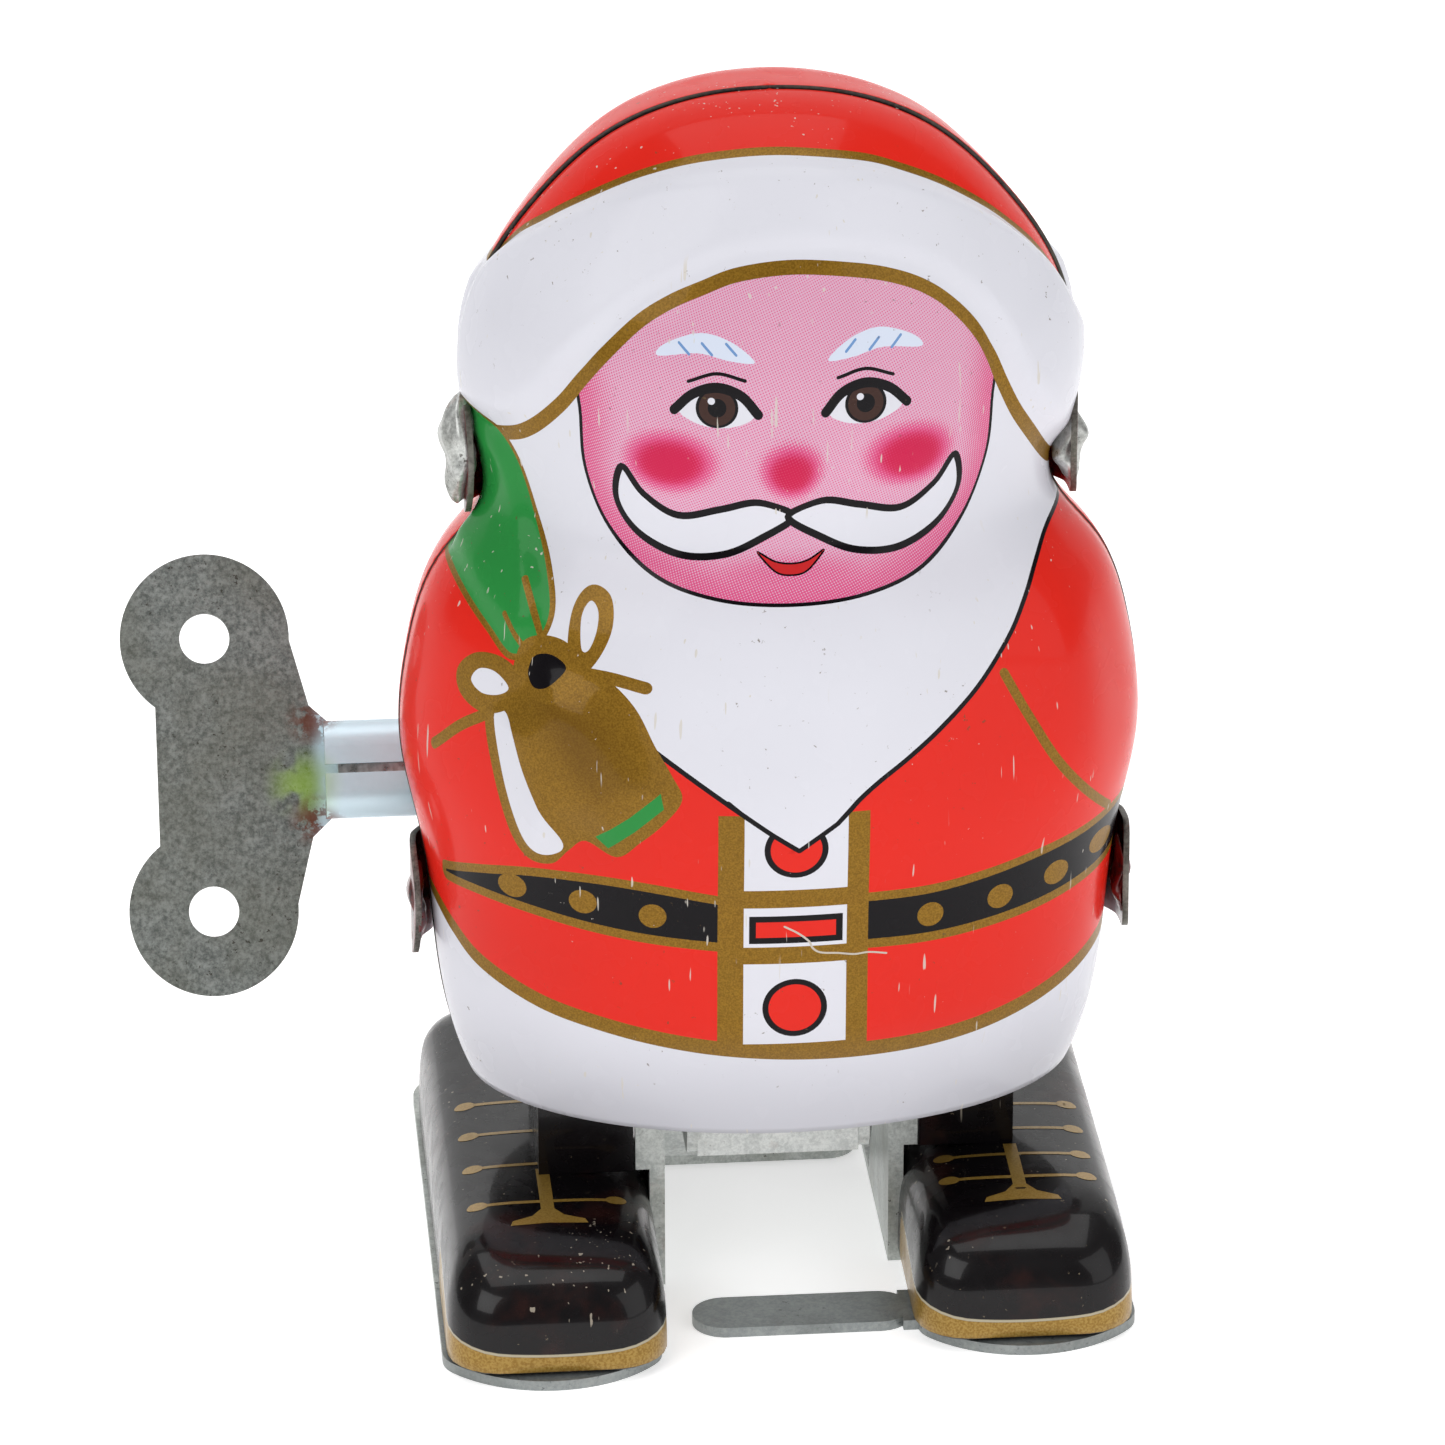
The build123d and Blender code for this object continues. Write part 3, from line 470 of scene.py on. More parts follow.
SCRATCH = [
    (-0.4, 33.8), (0.6, 33.2), (1.4, 32.5), (1.7, 31.9), (2.3, 31.5), (3.6, 31.35), (4.8, 31.15),
    (5.9, 31.2), (7.2, 30.95),
]
TIE = [
    (-19.6, 52.2), (-19.4, 54.0), (-18.5, 55.2), (-17.1, 55.6), (-15.7, 55.2), (-14.9, 53.8), (-15.4, 52.0),
    (-17.5, 50.8),
]
KNOT = [
    (-18.7, 52.7), (-18.2, 54.0), (-17.0, 54.3), (-16.0, 53.6), (-16.6, 52.6), (-17.4, 51.9),
    (-18.3, 51.8),
]
HEM_LINE = [
    (-28, 34.2), (-25.5, 31.4), (-24.1, 29.6), (-22.2, 27.8), (-18.1, 26.0), (-13.8, 25.0), (-9.5, 24.2),
    (-5.0, 23.6), (0.5, 23.2), (6.0, 23.1), (11.3, 23.3), (16.0, 23.9), (20.9, 25.1), (25.0, 26.8),
    (28, 28.4),
]
BELT_TOP_RIGHT = [(-5.2, 35.8), (-10.2, 36.6), (-14.5, 36.9), (-18.8, 36.6), (-22.3, 35.6), (-24.6, 34.5)]
BELT_LOW_RIGHT = [(-5.2, 32.4), (-10.2, 32.8), (-14.5, 33.3), (-18.8, 33.9), (-22.3, 34.2), (-24.6, 34.1)]
BELT_TOP_LEFT = [
    (5.6, 35.6), (10.4, 35.6), (14.6, 36.0), (18.9, 36.6), (22.8, 37.1), (25.6, 37.5), (27.6, 37.6),
]
BELT_LOW_LEFT = [
    (5.6, 32.2), (10.4, 32.1), (14.6, 32.3), (19.0, 32.7), (22.8, 33.2), (25.6, 33.6), (27.6, 33.7),
]
STUDS = [(-10.0, 34.5), (-15.0, 35.1), (-20.0, 35.3), (10.5, 33.7), (15.9, 34.0), (20.4, 34.5), (24.2, 35.2)]
SEAM_SHADE_WIDTH = 0.42  # how wide the black band of painted shade beside the seam is
HAT_Z = 68.5  # where the painted seam shade and the back's raised lip begin
SLEEVE = [(15.9, 52.1), (17.9, 48.2), (20.4, 43.8), (24.8, 38.0)]

FACE_CENTRE = 0.3
FACE = [
    (-14.6, 72.0), (-14.2, 67.6), (-12.6, 63.4), (-9.6, 60.4), (-5.2, 59.0), (0.3, 58.6), (5.8, 59.0),
    (10.2, 60.4), (13.2, 63.4), (14.8, 67.6), (15.2, 72.0), (15.2, 79.0), (9.0, 85.0), (0.3, 86.5),
    (-8.4, 85.0), (-14.6, 79.0),
]
EYE_X = 5.3
EYE_Z = 73.6
CHEEK_X = 8.6
CHEEK_Z = 69.4
NOSE_Z = 68.9


def beside(points, side):
    """Points drawn for the face's left half, put on either half."""
    return [(FACE_CENTRE + side * x, z) for x, z in points]


def face_layers():
    """A calm, plain face: almond eyes one eye's width apart, pale brows and a small smile."""
    layers = []
    eye = [
        (2.6, 73.2), (3.6, 74.5), (5.3, 75.1), (7.0, 74.6), (8.0, 73.5), (6.9, 72.6), (5.3, 72.2),
        (3.7, 72.4),
    ]
    lid = [(2.4, 73.2), (3.6, 74.6), (5.3, 75.2), (7.0, 74.7), (8.3, 73.5)]
    crease = [(3.3, 75.7), (5.3, 76.2), (7.3, 75.6)]
    brow = [(2.6, 77.0), (4.2, 78.4), (6.4, 79.0), (8.8, 78.2), (9.4, 77.3), (6.6, 77.6), (4.4, 77.1)]
    whisker = [
        (-0.2, 65.0), (2.2, 66.2), (5.0, 65.6), (8.0, 65.0), (10.4, 66.6), (11.9, 68.7), (12.3, 66.0),
        (10.9, 63.4), (8.0, 61.9), (4.8, 62.0), (2.2, 63.2),
    ]
    for side in (-1, 1):
        x, z = FACE_CENTRE + side * EYE_X, EYE_Z + 0.1
        layers += [
            ("white", area(beside(eye, side))),
            ("black", disc(x, z, 1.5, 1.5)),
            ("iris", disc(x, z, 1.28, 1.32)),
            ("black", disc(x, z, 0.66, 0.7, 24)),
            ("white", disc(x - 0.4, EYE_Z + 0.6, 0.26, 0.26, 14)),
            ("black", line(beside(lid, side), 0.75)),
            ("black", line(beside(crease, side), 0.26)),
            ("brow", area(beside(brow, side))),
        ]
        for start in (3.9, 5.6, 7.2):
            hair = [(start, 77.5), (start + 0.7, 78.3)]
            layers.append(("shade", line(beside(hair, side), 0.2, rounded=False)))
    smile = [
        (-2.4, 62.2), (-1.2, 61.5), (0, 61.3), (1.2, 61.5), (2.4, 62.2), (1.2, 60.8), (0, 60.5),
        (-1.2, 60.8),
    ]
    layers.append(("mouth", area(beside(smile, 1))))
    layers.append(("black", line(beside(smile, 1), 0.16, closed=True)))
    for side in (-1, 1):
        layers.append(("white", area(beside(whisker, side))))
        layers.append(("black", line(beside(whisker, side), 0.6, closed=True)))
    return layers


def front_layers():
    """Everything printed on the front half, with the painted seam shade, in the order it is laid down."""
    beard = smooth(BEARD_LEFT) + smooth(BEARD_RIGHT) + [(-19, 76), (-8, 87), (8, 87), (19, 77), (22.6, 66)]
    belts = ((BELT_LOW_RIGHT, BELT_TOP_RIGHT), (BELT_LOW_LEFT, BELT_TOP_LEFT))
    layers = [
        ("white", [to_print(beard)]),
        ("black", line(BEARD_LEFT, 0.36)),
        ("black", line(BEARD_RIGHT[:6], 0.36)),
        ("flesh", area(FACE)),
        ("black", line(FACE, 0.32, closed=True)),
    ]
    layers += face_layers()
    layers += [
        ("white", between(BRIM_LOW, BRIM_TOP)),
        ("gold", line(BRIM_TOP, 1.0)),
        ("gold", line(BRIM_LOW, 1.2)),
        ("green", area(MITTEN)),
        ("gold", line(MITTEN, 0.5, closed=True)),
        ("gold", line(SLEEVE, 0.75)),
        ("white", [to_print(smooth(HEM_LINE) + [(28, HEM_Z - 1), (-28, HEM_Z - 1)])]),
        ("gold", line(HEM_LINE, 1.25)),
    ]
    for low, top in belts:
        layers += [("gold", between(low, top)), ("gold", line(top, 1.3)), ("gold", line(low, 1.3))]
    for low, top in belts:
        layers.append(("black", between(shifted(low, 0.1), shifted(top, -0.1))))
    layers += [("gold", disc(x, z, 1.0, 1.0, 28)) for x, z in STUDS]
    layers += [
        ("gold", block(-5.3, 23.4, 5.8, 43.2)),
        ("white", block(-3.4, 24.0, 4.2, 43.4)),
        ("gold", block(-4.0, 35.4, 5.0, 36.9)),
        ("gold", block(-4.0, 30.7, 5.0, 32.1)),
        ("black", block(-3.0, 32.4, 3.9, 34.7)),
        ("red", block(-2.5, 32.9, 3.4, 34.2)),
        ("black", disc(0.4, 40.3, 2.35, 2.35)),
        ("red", disc(0.4, 40.3, 1.9, 1.9)),
        ("black", disc(0.4, 27.0, 2.4, 2.4)),
        ("red", disc(0.4, 27.0, 1.95, 1.95)),
        ("white", area([(-3.9, 43.6), (0.6, 40.2), (4.6, 43.6), (4.6, 46), (-3.9, 46)], rounded=False)),
        ("black", line([(-4.6, 44.2), (-3.7, 43.4), (-1.5, 41.7), (0.6, 40.2)], 0.36, rounded=False)),
        ("black", line([(0.6, 40.2), (3.4, 42.3), (4.9, 44.0)], 0.36, rounded=False)),
        ("gold", line([(-10.4, 52.7), (-13.0, 53.2), (-16.1, 53.4)], 0.95)),
        ("gold", line([(-18.8, 51.0), (-21.6, 49.0), (-23.6, 47.4), (-25.4, 45.2)], 0.9)),
        ("gold", area(POUCH)),
        ("bell", area(POUCH_BODY)),
        ("white", area(POUCH_SIDE)),
        ("green", area(POUCH_HEM, rounded=False)),
        ("gold", area(TIE)),
        ("gold", area(BOW_FAR)),
        ("gold", area(BOW_NEAR)),
        ("gold", line(BOW_FAR, 0.9, closed=True)),
        ("gold", line(BOW_NEAR, 0.85, closed=True)),
        ("white", area(BOW_FAR_GAP)),
        ("white", area(BOW_NEAR_GAP)),
        ("gold", line([(-17.6, 54.2), (-17.9, 56.6), (-18.4, 58.8)], 0.5)),
        ("gold", line([(-18.6, 53.8), (-19.4, 55.4), (-19.9, 56.4)], 0.45)),
        ("black", area(KNOT)),
        # A black band of painted shade along the seam over the hat.
        ("black", seam_shade_lines()),
        ("scratch", line(SCRATCH, 0.15)),
    ]
    return layers


def seam_shade_lines():
    """A black band along the front's edge over the hat: painted shade in the seam."""
    run = np.linspace(run_at(HAT_Z), profile_end, 90)
    inner = SKIN_WIDTH - np.minimum(SEAM_SHADE_WIDTH * WRAP_R / np.maximum(wide_at(run), 0.4), SKIN_WIDTH)
    lines = []
    for side in (-1, 1):
        edge = np.stack([np.full_like(run, side * SKIN_WIDTH), run], -1)
        lines.append(np.concatenate([edge, np.stack([side * inner, run], -1)[::-1]]))
    return lines


def shifted(points, rise):
    """Points moved up or down."""
    return [(x, z + rise) for x, z in points]


def oval_distance(flat, x, z, wide, high):
    """How far each place on the print is from a middle, squared, with 1 at an oval's edge."""
    centre = to_print([(x, z)])[0]
    return ((flat[:, 0] - centre[0]) / wide) ** 2 + ((flat[:, 1] - centre[1]) / high) ** 2


def depth_in_area(flat, points):
    """How deep each place on the print is inside a rounded shape."""
    return depth_inside(flat, area(points)[0])


RAISED = [(MITTEN, 0.7, 2.6), (POUCH, 0.95, 4.2), (FACE, 0.35, 3.0)]  # (shape, rise, width of its slope)
BUMPS = [
    (FACE_CENTRE, NOSE_Z, 2.1, 2.6, 1.0), (FACE_CENTRE - CHEEK_X, CHEEK_Z, 3.2, 2.6, 0.4),
    (FACE_CENTRE + CHEEK_X, CHEEK_Z, 3.2, 2.6, 0.4), (21.5, 50, 4.2, 7.5, 0.75),
]
BLUSHES = [
    (FACE_CENTRE - CHEEK_X, CHEEK_Z, 3.6, 2.3, 1.0), (FACE_CENTRE + CHEEK_X, CHEEK_Z, 3.6, 2.3, 1.0),
    (FACE_CENTRE, NOSE_Z, 2.3, 2.1, 0.95), (FACE_CENTRE, 60.0, 9.0, 2.4, 0.35),
]


def front_relief(flat):
    """How far the front's stamping raises the skin, in millimetres."""
    lift = 1.05 * ease(depth_inside(flat, between(BRIM_LOW, BRIM_TOP)[0]) / 3.2)
    for shape, rise, slope in RAISED:
        lift = np.maximum(lift, rise * ease(depth_in_area(flat, shape) / slope))
    for x, z, wide, high, rise in BUMPS:
        lift = lift + rise * np.exp(-oval_distance(flat, x, z, wide, high))
    seam = (SKIN_WIDTH - np.abs(flat[:, 0])) / 2.5
    top = (profile_end - flat[:, 1]) / 3.0
    return lift * ease(seam) * ease(top) - 0.05 * ease(1.4 - seam * 1.4)


def front_tone(flat):
    """How strongly each place is inked with its second colour, and how deep the painted shade on the bell
    is.
    """
    tone = np.zeros(len(flat))
    for x, z, wide, high, strength in BLUSHES:
        tone = np.maximum(tone, strength * np.exp(-oval_distance(flat, x, z, wide, high) ** 2))
    rim = (1 - ease(depth_in_area(flat, FACE) / 4.5)) * inside(flat, area(FACE)[0])
    tone = np.maximum(tone, 0.06 + 0.36 * rim)
    # On the bell the tone is painted shade, deepening inwards from its edge.
    return np.maximum(tone, ease(depth_in_area(flat, POUCH_BODY) / 3.6))


# ---- the back's print ----
BACK_BRIM = (65.4, 80.4)  # the heights between which the brim runs round the back
BACK_STUD_Z = 35.3


def level(z):
    """A level line right round the back, on the print."""
    return [(-SKIN_WIDTH + 2 * SKIN_WIDTH * k / 40, run_at(z)) for k in range(41)]


def back_band(low, high):
    """The band between two levels."""
    return [np.array(level(low) + level(high)[::-1])]


def back_layers():
    """The back's plain print: brim, belt and white hem carried on from the front."""
    layers = [
        ("white", back_band(*BACK_BRIM)),
        ("gold", back_band(80.0, 80.8)),
        ("gold", back_band(65.0, 65.85)),
        ("gold", back_band(32.6, 38.0)),
        ("black", back_band(33.4, 37.2)),
        ("white", back_band(HEM_Z - 1, 28.4)),
        ("gold", back_band(28.0, 29.2)),
    ]
    for k in range(1, 10):
        across = -SKIN_WIDTH + 2 * SKIN_WIDTH * k / 10
        layers.append(("gold", [np.array(oval(across, run_at(BACK_STUD_Z), 1.0, 1.0, 28))]))
    return layers


def back_relief(flat):
    """The back's stamping: the rolled brim, a fuller crown, and a lip at the hat's seam."""
    low, high = (run_at(z) for z in BACK_BRIM)
    deep = np.minimum(flat[:, 1] - low, high - flat[:, 1])
    seam = (SKIN_WIDTH - np.abs(flat[:, 0])) / 2.5
    behind = BACK_DEPTH * wide_at(flat[:, 1]) * np.cos(flat[:, 0] / WRAP_R)
    crown = 0.6 * ease((flat[:, 1] - (profile_end - 26)) / 14) * ease(behind / 6)
    hat = ease((flat[:, 1] - run_at(HAT_Z)) / 2.0)
    lip = (0.03 + 0.19 * hat) * (1 - ease(behind / 3.5))
    return 0.6 * ease(deep / 2.8) * ease(seam) + crown + lip


def key_hole_ring():
    """The winding hole's outline on the back's print."""
    y, z, radius = KEY_HOLE
    ring = []
    for k in range(48):
        a = 2 * pi * k / 48
        high = z + radius * sin(a)
        reach = min(max((y + radius * cos(a)) / (BACK_DEPTH * half_width(high)), 0), 1)
        ring.append((-np.arccos(reach) * WRAP_R, run_at(high)))
    return np.array(ring)


# ---- the ears and tongues that hold the halves together ----
EAR_STAND_OFF = 0.7  # how far an ear stands off the body's side
EAR_ROOT_Y = 3.4  # where an ear leaves the back half
EAR_Y = -1.0  # the middle of an ear's rounded end
EAR_HALF_WIDTH = 2.6
TONGUE_HALF_WIDTH = 1.9
TONGUE_FOLDS = {  # (out, up, half-thickness, half-height)
    "neck_right": (1.75, 0.6, 1.3, 4.4), "neck_left": (0.85, -0.4, 1.15, 3.2),
    "belt_right": (0.95, -0.4, 0.6, 3.6), "belt_left": (0.75, 0.0, 0.55, 3.2),
}


def make_ear(name, side, site):
    """A rounded ear that leaves the back half and stands over the front half's edge."""
    z, wide, high = site
    rows, count = 19, 12
    places, faces = [], []
    for row in range(rows):
        y = EAR_ROOT_Y - (EAR_ROOT_Y - EAR_Y + EAR_HALF_WIDTH) * row / (rows - 1)
        skin = float(half_width(z)) * sqrt(max(1 - (max(y, 0) / (BACK_DEPTH * wide)) ** 2, 0))
        out = float(ease((EAR_ROOT_Y - y) / 2.6))
        round_end = ((y - EAR_Y) / EAR_HALF_WIDTH) ** 2
        x = skin + 0.15 + out * (wide + EAR_STAND_OFF + 0.1 - skin) + 0.25 * (1 - min(round_end, 1))
        reach = high if y > EAR_Y else max(high * sqrt(max(1 - round_end, 0)), 0.25)
        places += [(side * x, y, z + reach * (2 * k / count - 1)) for k in range(count + 1)]
    for row in range(rows - 1):
        for k in range(count):
            a = row * (count + 1) + k
            faces.append((a, a + 1, a + count + 2, a + count + 1))
    obj = mesh_from(name, places, faces)
    modify(obj, "wall", "SOLIDIFY", thickness=SHEET * MM, offset=0, material_offset_rim=1)
    round_edges(obj, 0.09, 50)
    return obj


def round_edges(obj, width, angle):
    """Rounds the edges that are sharper than an angle."""
    modify(obj, "edge", "BEVEL", width=width * MM, segments=2, limit_method="ANGLE",
           angle_limit=radians(angle))


def tube_faces(rows, count, side, closed_below=False):
    """Faces round a stack of rings, closed at the top, facing outwards on either side of the figure."""
    faces = []
    for row in range(rows):
        for k in range(count):
            a, b = row * count + k, row * count + (k + 1) % count
            faces.append((a, b, b + count, a + count))
    if closed_below:
        faces.append(tuple(range(count))[::-1])
    faces.append(tuple(range(rows * count, (rows + 1) * count)))
    return [face if side > 0 else face[::-1] for face in faces]


def make_tongue(name, side, site, fold):
    """A tongue folded over on itself outside its ear."""
    z, wide, _ = site
    out, up, thick, high = fold
    rows, count = 22, 28
    places = []
    for row in range(rows + 1):
        t = 2 * (row + 0.02) / (rows + 0.04) - 1
        taper = (1 - abs(t) ** 1.8) ** 0.6
        for k in range(count):
            a = 2 * pi * k / count
            crease = 1 + 0.13 * sin(2 * a + 4 * t + side) + 0.08 * sin(5 * a - 6 * t) + 0.06 * sin(9 * t + a)
            x = wide + out + thick * taper * crease * cos(a) + 0.18 * sin(5 * t)
            y = EAR_Y - 0.3 + TONGUE_HALF_WIDTH * taper * crease * sin(a)
            places.append((side * x, y, z + up + high * t))
    return mesh_from(name, places, tube_faces(rows, count, side, closed_below=True))


# ---- the shoes ----
SHOE_X = (9.35, 25.8)
SHOE_TOE = -22.0
SHOE_HEEL = 27.0
SHOE_BASE = 0.85
FOOT_SHIFT = {"right": -1.2, "left": 1.2}  # where each crank pin holds its foot, towards the back
SHOE_LEVELS = [  # (height, how far the outline is set in)
    (0.85, 0.25), (1.15, 0.05), (1.25, 0.0), (2.2, 0.0), (3.0, 0.02), (4.2, 0.05), (5.4, 0.12),
    (6.4, 0.25), (7.2, 0.45), (7.9, 0.75), (8.45, 1.15), (8.9, 1.7), (9.2, 2.35), (9.38, 3.2),
    (9.48, 4.3), (9.54, 5.4), (9.58, 6.5), (9.6, 7.4),
]
STRIPE_LOW_Z = 1.25  # the gilt stripe round the toe
STRIPE_TOP_Z = 2.6
STRIPE_RISE = (0.9, 0.1)  # how the stripe's top rises towards the shoe's sides, and along them
STRIPE_BACK_Y = -8.0
TOE_ROUNDING = 1.9  # how much faster the top is set in at the toe than at the sides


def shoe_outline(inset, count=28):
    """The shoe's outline seen from above, set in by a distance, anticlockwise from the outer heel."""
    low_x, high_x = SHOE_X[0] + inset, SHOE_X[1] - inset
    toe, heel = SHOE_TOE + inset * TOE_ROUNDING, SHOE_HEEL - inset
    ring = []
    for x, y, turn, radius in (
        (high_x, heel, 0, 4.6), (low_x, heel, 90, 4.6), (low_x, toe, 180, 4.0), (high_x, toe, 270, 4.0),
    ):
        radius = min(max(radius - inset * 0.45, 0.4), (high_x - low_x) / 2 - 0.01)
        x += -radius if x == high_x else radius
        y += -radius if y == heel else radius
        for k in range(count // 4 + 1):
            a = radians(turn + 90 * k / (count // 4))
            ring.append((x + radius * cos(a), y + radius * sin(a)))
    return ring


def even_ring(ring, count):
    """A closed ring resampled evenly, beginning at its first point."""
    p = np.array(ring + ring[:1])
    run = np.concatenate([[0], np.cumsum(np.hypot(*np.diff(p, axis=0).T))])
    at = np.linspace(0, run[-1], count, endpoint=False)
    return np.stack([np.interp(at, run, p[:, 0]), np.interp(at, run, p[:, 1])], -1)


def make_shoe(name, side, shift):
    """A pressed tin shoe with a bulging toe, a gilt stripe round it and a rolled lower edge."""
    count = 120
    places, gilt, over = [], [], []
    middle, half = (SHOE_X[0] + SHOE_X[1]) / 2, (SHOE_X[1] - SHOE_X[0]) / 2
    for level_z, inset in SHOE_LEVELS:
        for x, y in even_ring(shoe_outline(inset), count):
            fall = float(ease((-9.0 - y) / 12.0))
            bulge = 0.5 * np.exp(-((y + 16.0) / 4.0) ** 2) * ease((level_z - 6) / 3)
            z = SHOE_BASE + (level_z - SHOE_BASE) * (1 - 0.12 * fall) + float(bulge)
            places.append((side * x, y + shift, z))
            rise = STRIPE_RISE[0] * ((x - middle) / half) ** 2 + STRIPE_RISE[1] * (y - SHOE_TOE)
            over.append(STRIPE_TOP_Z + rise - level_z)
            gilt.append(min(level_z - STRIPE_LOW_Z, over[-1], STRIPE_BACK_Y - y))
    obj = mesh_from(name, places, tube_faces(len(SHOE_LEVELS) - 1, count, side))
    write_layer(obj.data, "gilt", gilt)
    write_layer(obj.data, "over_stripe", over)
    return obj


# How far back each shoe's lace bars are, with the figure at rest.
LACE_BARS = {"right": [5.2, 0.0, -5.6, -11.9], "left": [1.4, -2.8, -7.2, -10.9]}
LACE_X = 17.8
LACE_REACH = 5.0  # from a bar's middle to its ends
LACE_TONGUE = [(2.9, -3.5), (2.7, -2.9), (1.2, -2.2), (0.45, -1.1)]  # one half, from the last bar
SHOE_TOP = 9.6
INK_LIFT = 0.03  # how far the laces' film of ink stands off the shoe


def lace_shapes(foot):
    """The gilt laces printed on a shoe: bars with knobs, a stem and a tongue, as seen from above."""
    centre = LACE_X if foot == "left" else -LACE_X
    shapes = []
    for y in LACE_BARS[foot]:
        near, far = centre - LACE_REACH, centre + LACE_REACH
        shapes += stroke([(near + 2 * LACE_REACH * k / 20, y) for k in range(21)], 0.42)
        shapes.append(np.array(oval(near - 0.2, y, 0.8, 0.62, 20)))
        shapes.append(np.array(oval(far + 0.2, y, 0.8, 0.62, 20)))
    last = LACE_BARS[foot][-1]
    shapes += stroke([(centre, last + 5.4 - 6.6 * k / 12) for k in range(13)], 1.0, round_ends=False)
    tongue = [(centre - x, last + y) for x, y in LACE_TONGUE]
    tongue += [(centre + x, last + y) for x, y in LACE_TONGUE[::-1]] + [(centre, last - 3.3)]
    shapes.append(np.array(tongue))
    return shapes


def make_laces(name, foot, shoe):
    """The laces as a film of ink laid on the shoe."""
    ground = BVHTree.FromObject(shoe, bpy.context.evaluated_depsgraph_get())
    places, faces = [], []
    for ring in lace_shapes(foot):
        ring = tidy_ring(ring, 0.04)
        edges = [(k, (k + 1) % len(ring)) for k in range(len(ring))]
        made = delaunay_2d_cdt([Vector((float(q[0]), float(q[1]))) for q in ring], edges, [], 1, 1e-6)
        start = len(places)
        for v in made[0]:
            hit = ground.ray_cast(Vector((v.x * MM, v.y * MM, 0.03)), Vector((0, 0, -1)))
            height = hit[0].z / MM if hit[0] else SHOE_TOP
            places.append((v.x, v.y, height + INK_LIFT))
        faces += [tuple(start + i for i in face) for face in made[2]]
    return mesh_from(name, places, faces)


# ---- materials ----
class Finish:
    """A material whose nodes are made one call at a time."""

    def __init__(self, name, **constants):
        self.material = bpy.data.materials.new(name)
        self.material.use_nodes = True
        self.tree = self.material.node_tree
        self.shader = next(n for n in self.tree.nodes if n.type == "BSDF_PRINCIPLED")
        for socket, value in constants.items():
            self.shader.inputs[socket.replace("_", " ")].default_value = value

    def make(self, kind, inputs, output=0, **settings):
        """Adds a node, feeds its inputs, and gives one of its outputs."""
        made = self.tree.nodes.new("ShaderNode" + kind)
        for setting, value in settings.items():
            setattr(made, setting, value)
        for socket, value in inputs.items():
            self.feed(made.inputs[socket], value)
        return made.outputs[output]

    def feed(self, socket, value):
        if hasattr(value, "is_output"):
            self.tree.links.new(value, socket)
        else:
            socket.default_value = value

    def place(self):
        return self.make("TexCoord", {}, "Object")

    def named(self, name, output="Fac"):
        return self.make("Attribute", {}, output, attribute_name=name)

    def moved(self, vector, scale=(1, 1, 1), turn=(0, 0, 0), offset=(0, 0, 0)):
        turn = [radians(a) for a in turn]
        return self.make("Mapping", {"Vector": vector, "Scale": scale, "Rotation": turn, "Location": offset})

    def noise(self, scale, detail=2.0, vector=None, rough=0.5):
        vector = self.place() if vector is None else vector
        inputs = {"Vector": vector, "Scale": scale, "Detail": detail, "Roughness": rough}
        return self.make("TexNoise", inputs)

    def span(self, value, low, high, to_low=0.0, to_high=1.0):
        inputs = dict(enumerate((value, low, high, to_low, to_high)))
        return self.make("MapRange", inputs, interpolation_type="SMOOTHSTEP")

    def calc(self, operation, a, b=0.0):
        return self.make("Math", {0: a, 1: b}, operation=operation)

    def axis(self, vector, k):
        """One coordinate of a vector: 0 across, 1 back, 2 up."""
        return self.make("SeparateXYZ", {0: vector}, k)

    def times(self, a, b):
        return self.calc("MULTIPLY", a, b)

    def plus(self, a, b):
        return self.calc("ADD", a, b)

    def most(self, a, b):
        return self.calc("MAXIMUM", a, b)

    def close_to(self, place_mm, near_mm, far_mm):
        """1 close to a place on the object, falling to 0 at the far distance."""
        middle = [c * MM for c in place_mm]
        away = self.make("VectorMath", {0: self.place(), 1: middle}, "Value", operation="DISTANCE")
        return self.span(away, far_mm * MM, near_mm * MM)

    def mix(self, factor, a, b):
        return self.make("Mix", {0: factor, 6: a, 7: b}, 2, data_type="RGBA")

    def tint(self, colour, mask, strength, shade):
        """A colour with another laid over it where the mask is, at a strength."""
        return self.mix(self.times(mask, strength), colour, shade)

    def bump(self, height, strength, depth_mm):
        return self.make("Bump", {"Strength": strength, "Distance": depth_mm * MM, "Height": height})

    def set(self, **sockets):
        for socket, value in sockets.items():
            self.feed(self.shader.inputs[socket.replace("_", " ")], value)
        return self.material


def specks(paint, scale, low, high, patch_scale):
    """Small separate spots, gathered in patches."""
    spots = paint.span(paint.noise(scale, 3.0, rough=0.7), low, high)
    patches = paint.span(paint.noise(patch_scale, 1.0), 0.47, 0.58)
    return paint.times(spots, patches)


def scratches(paint, turn, seed):
    """Fine straight scratches along one direction, in a few patches."""
    lines = paint.moved(paint.place(), (1, 1, 0.06), (0, turn, 0), (seed, 0, 0))
    thin = paint.span(paint.noise(2600, 1.0, lines), 0.735, 0.76)
    moved = paint.moved(paint.place(), offset=(seed, seed, 0))
    return paint.times(thin, paint.span(paint.noise(90, 1.0, moved), 0.53, 0.59))


HALFTONE_PITCH = 0.30
HALFTONE_TURN = 22


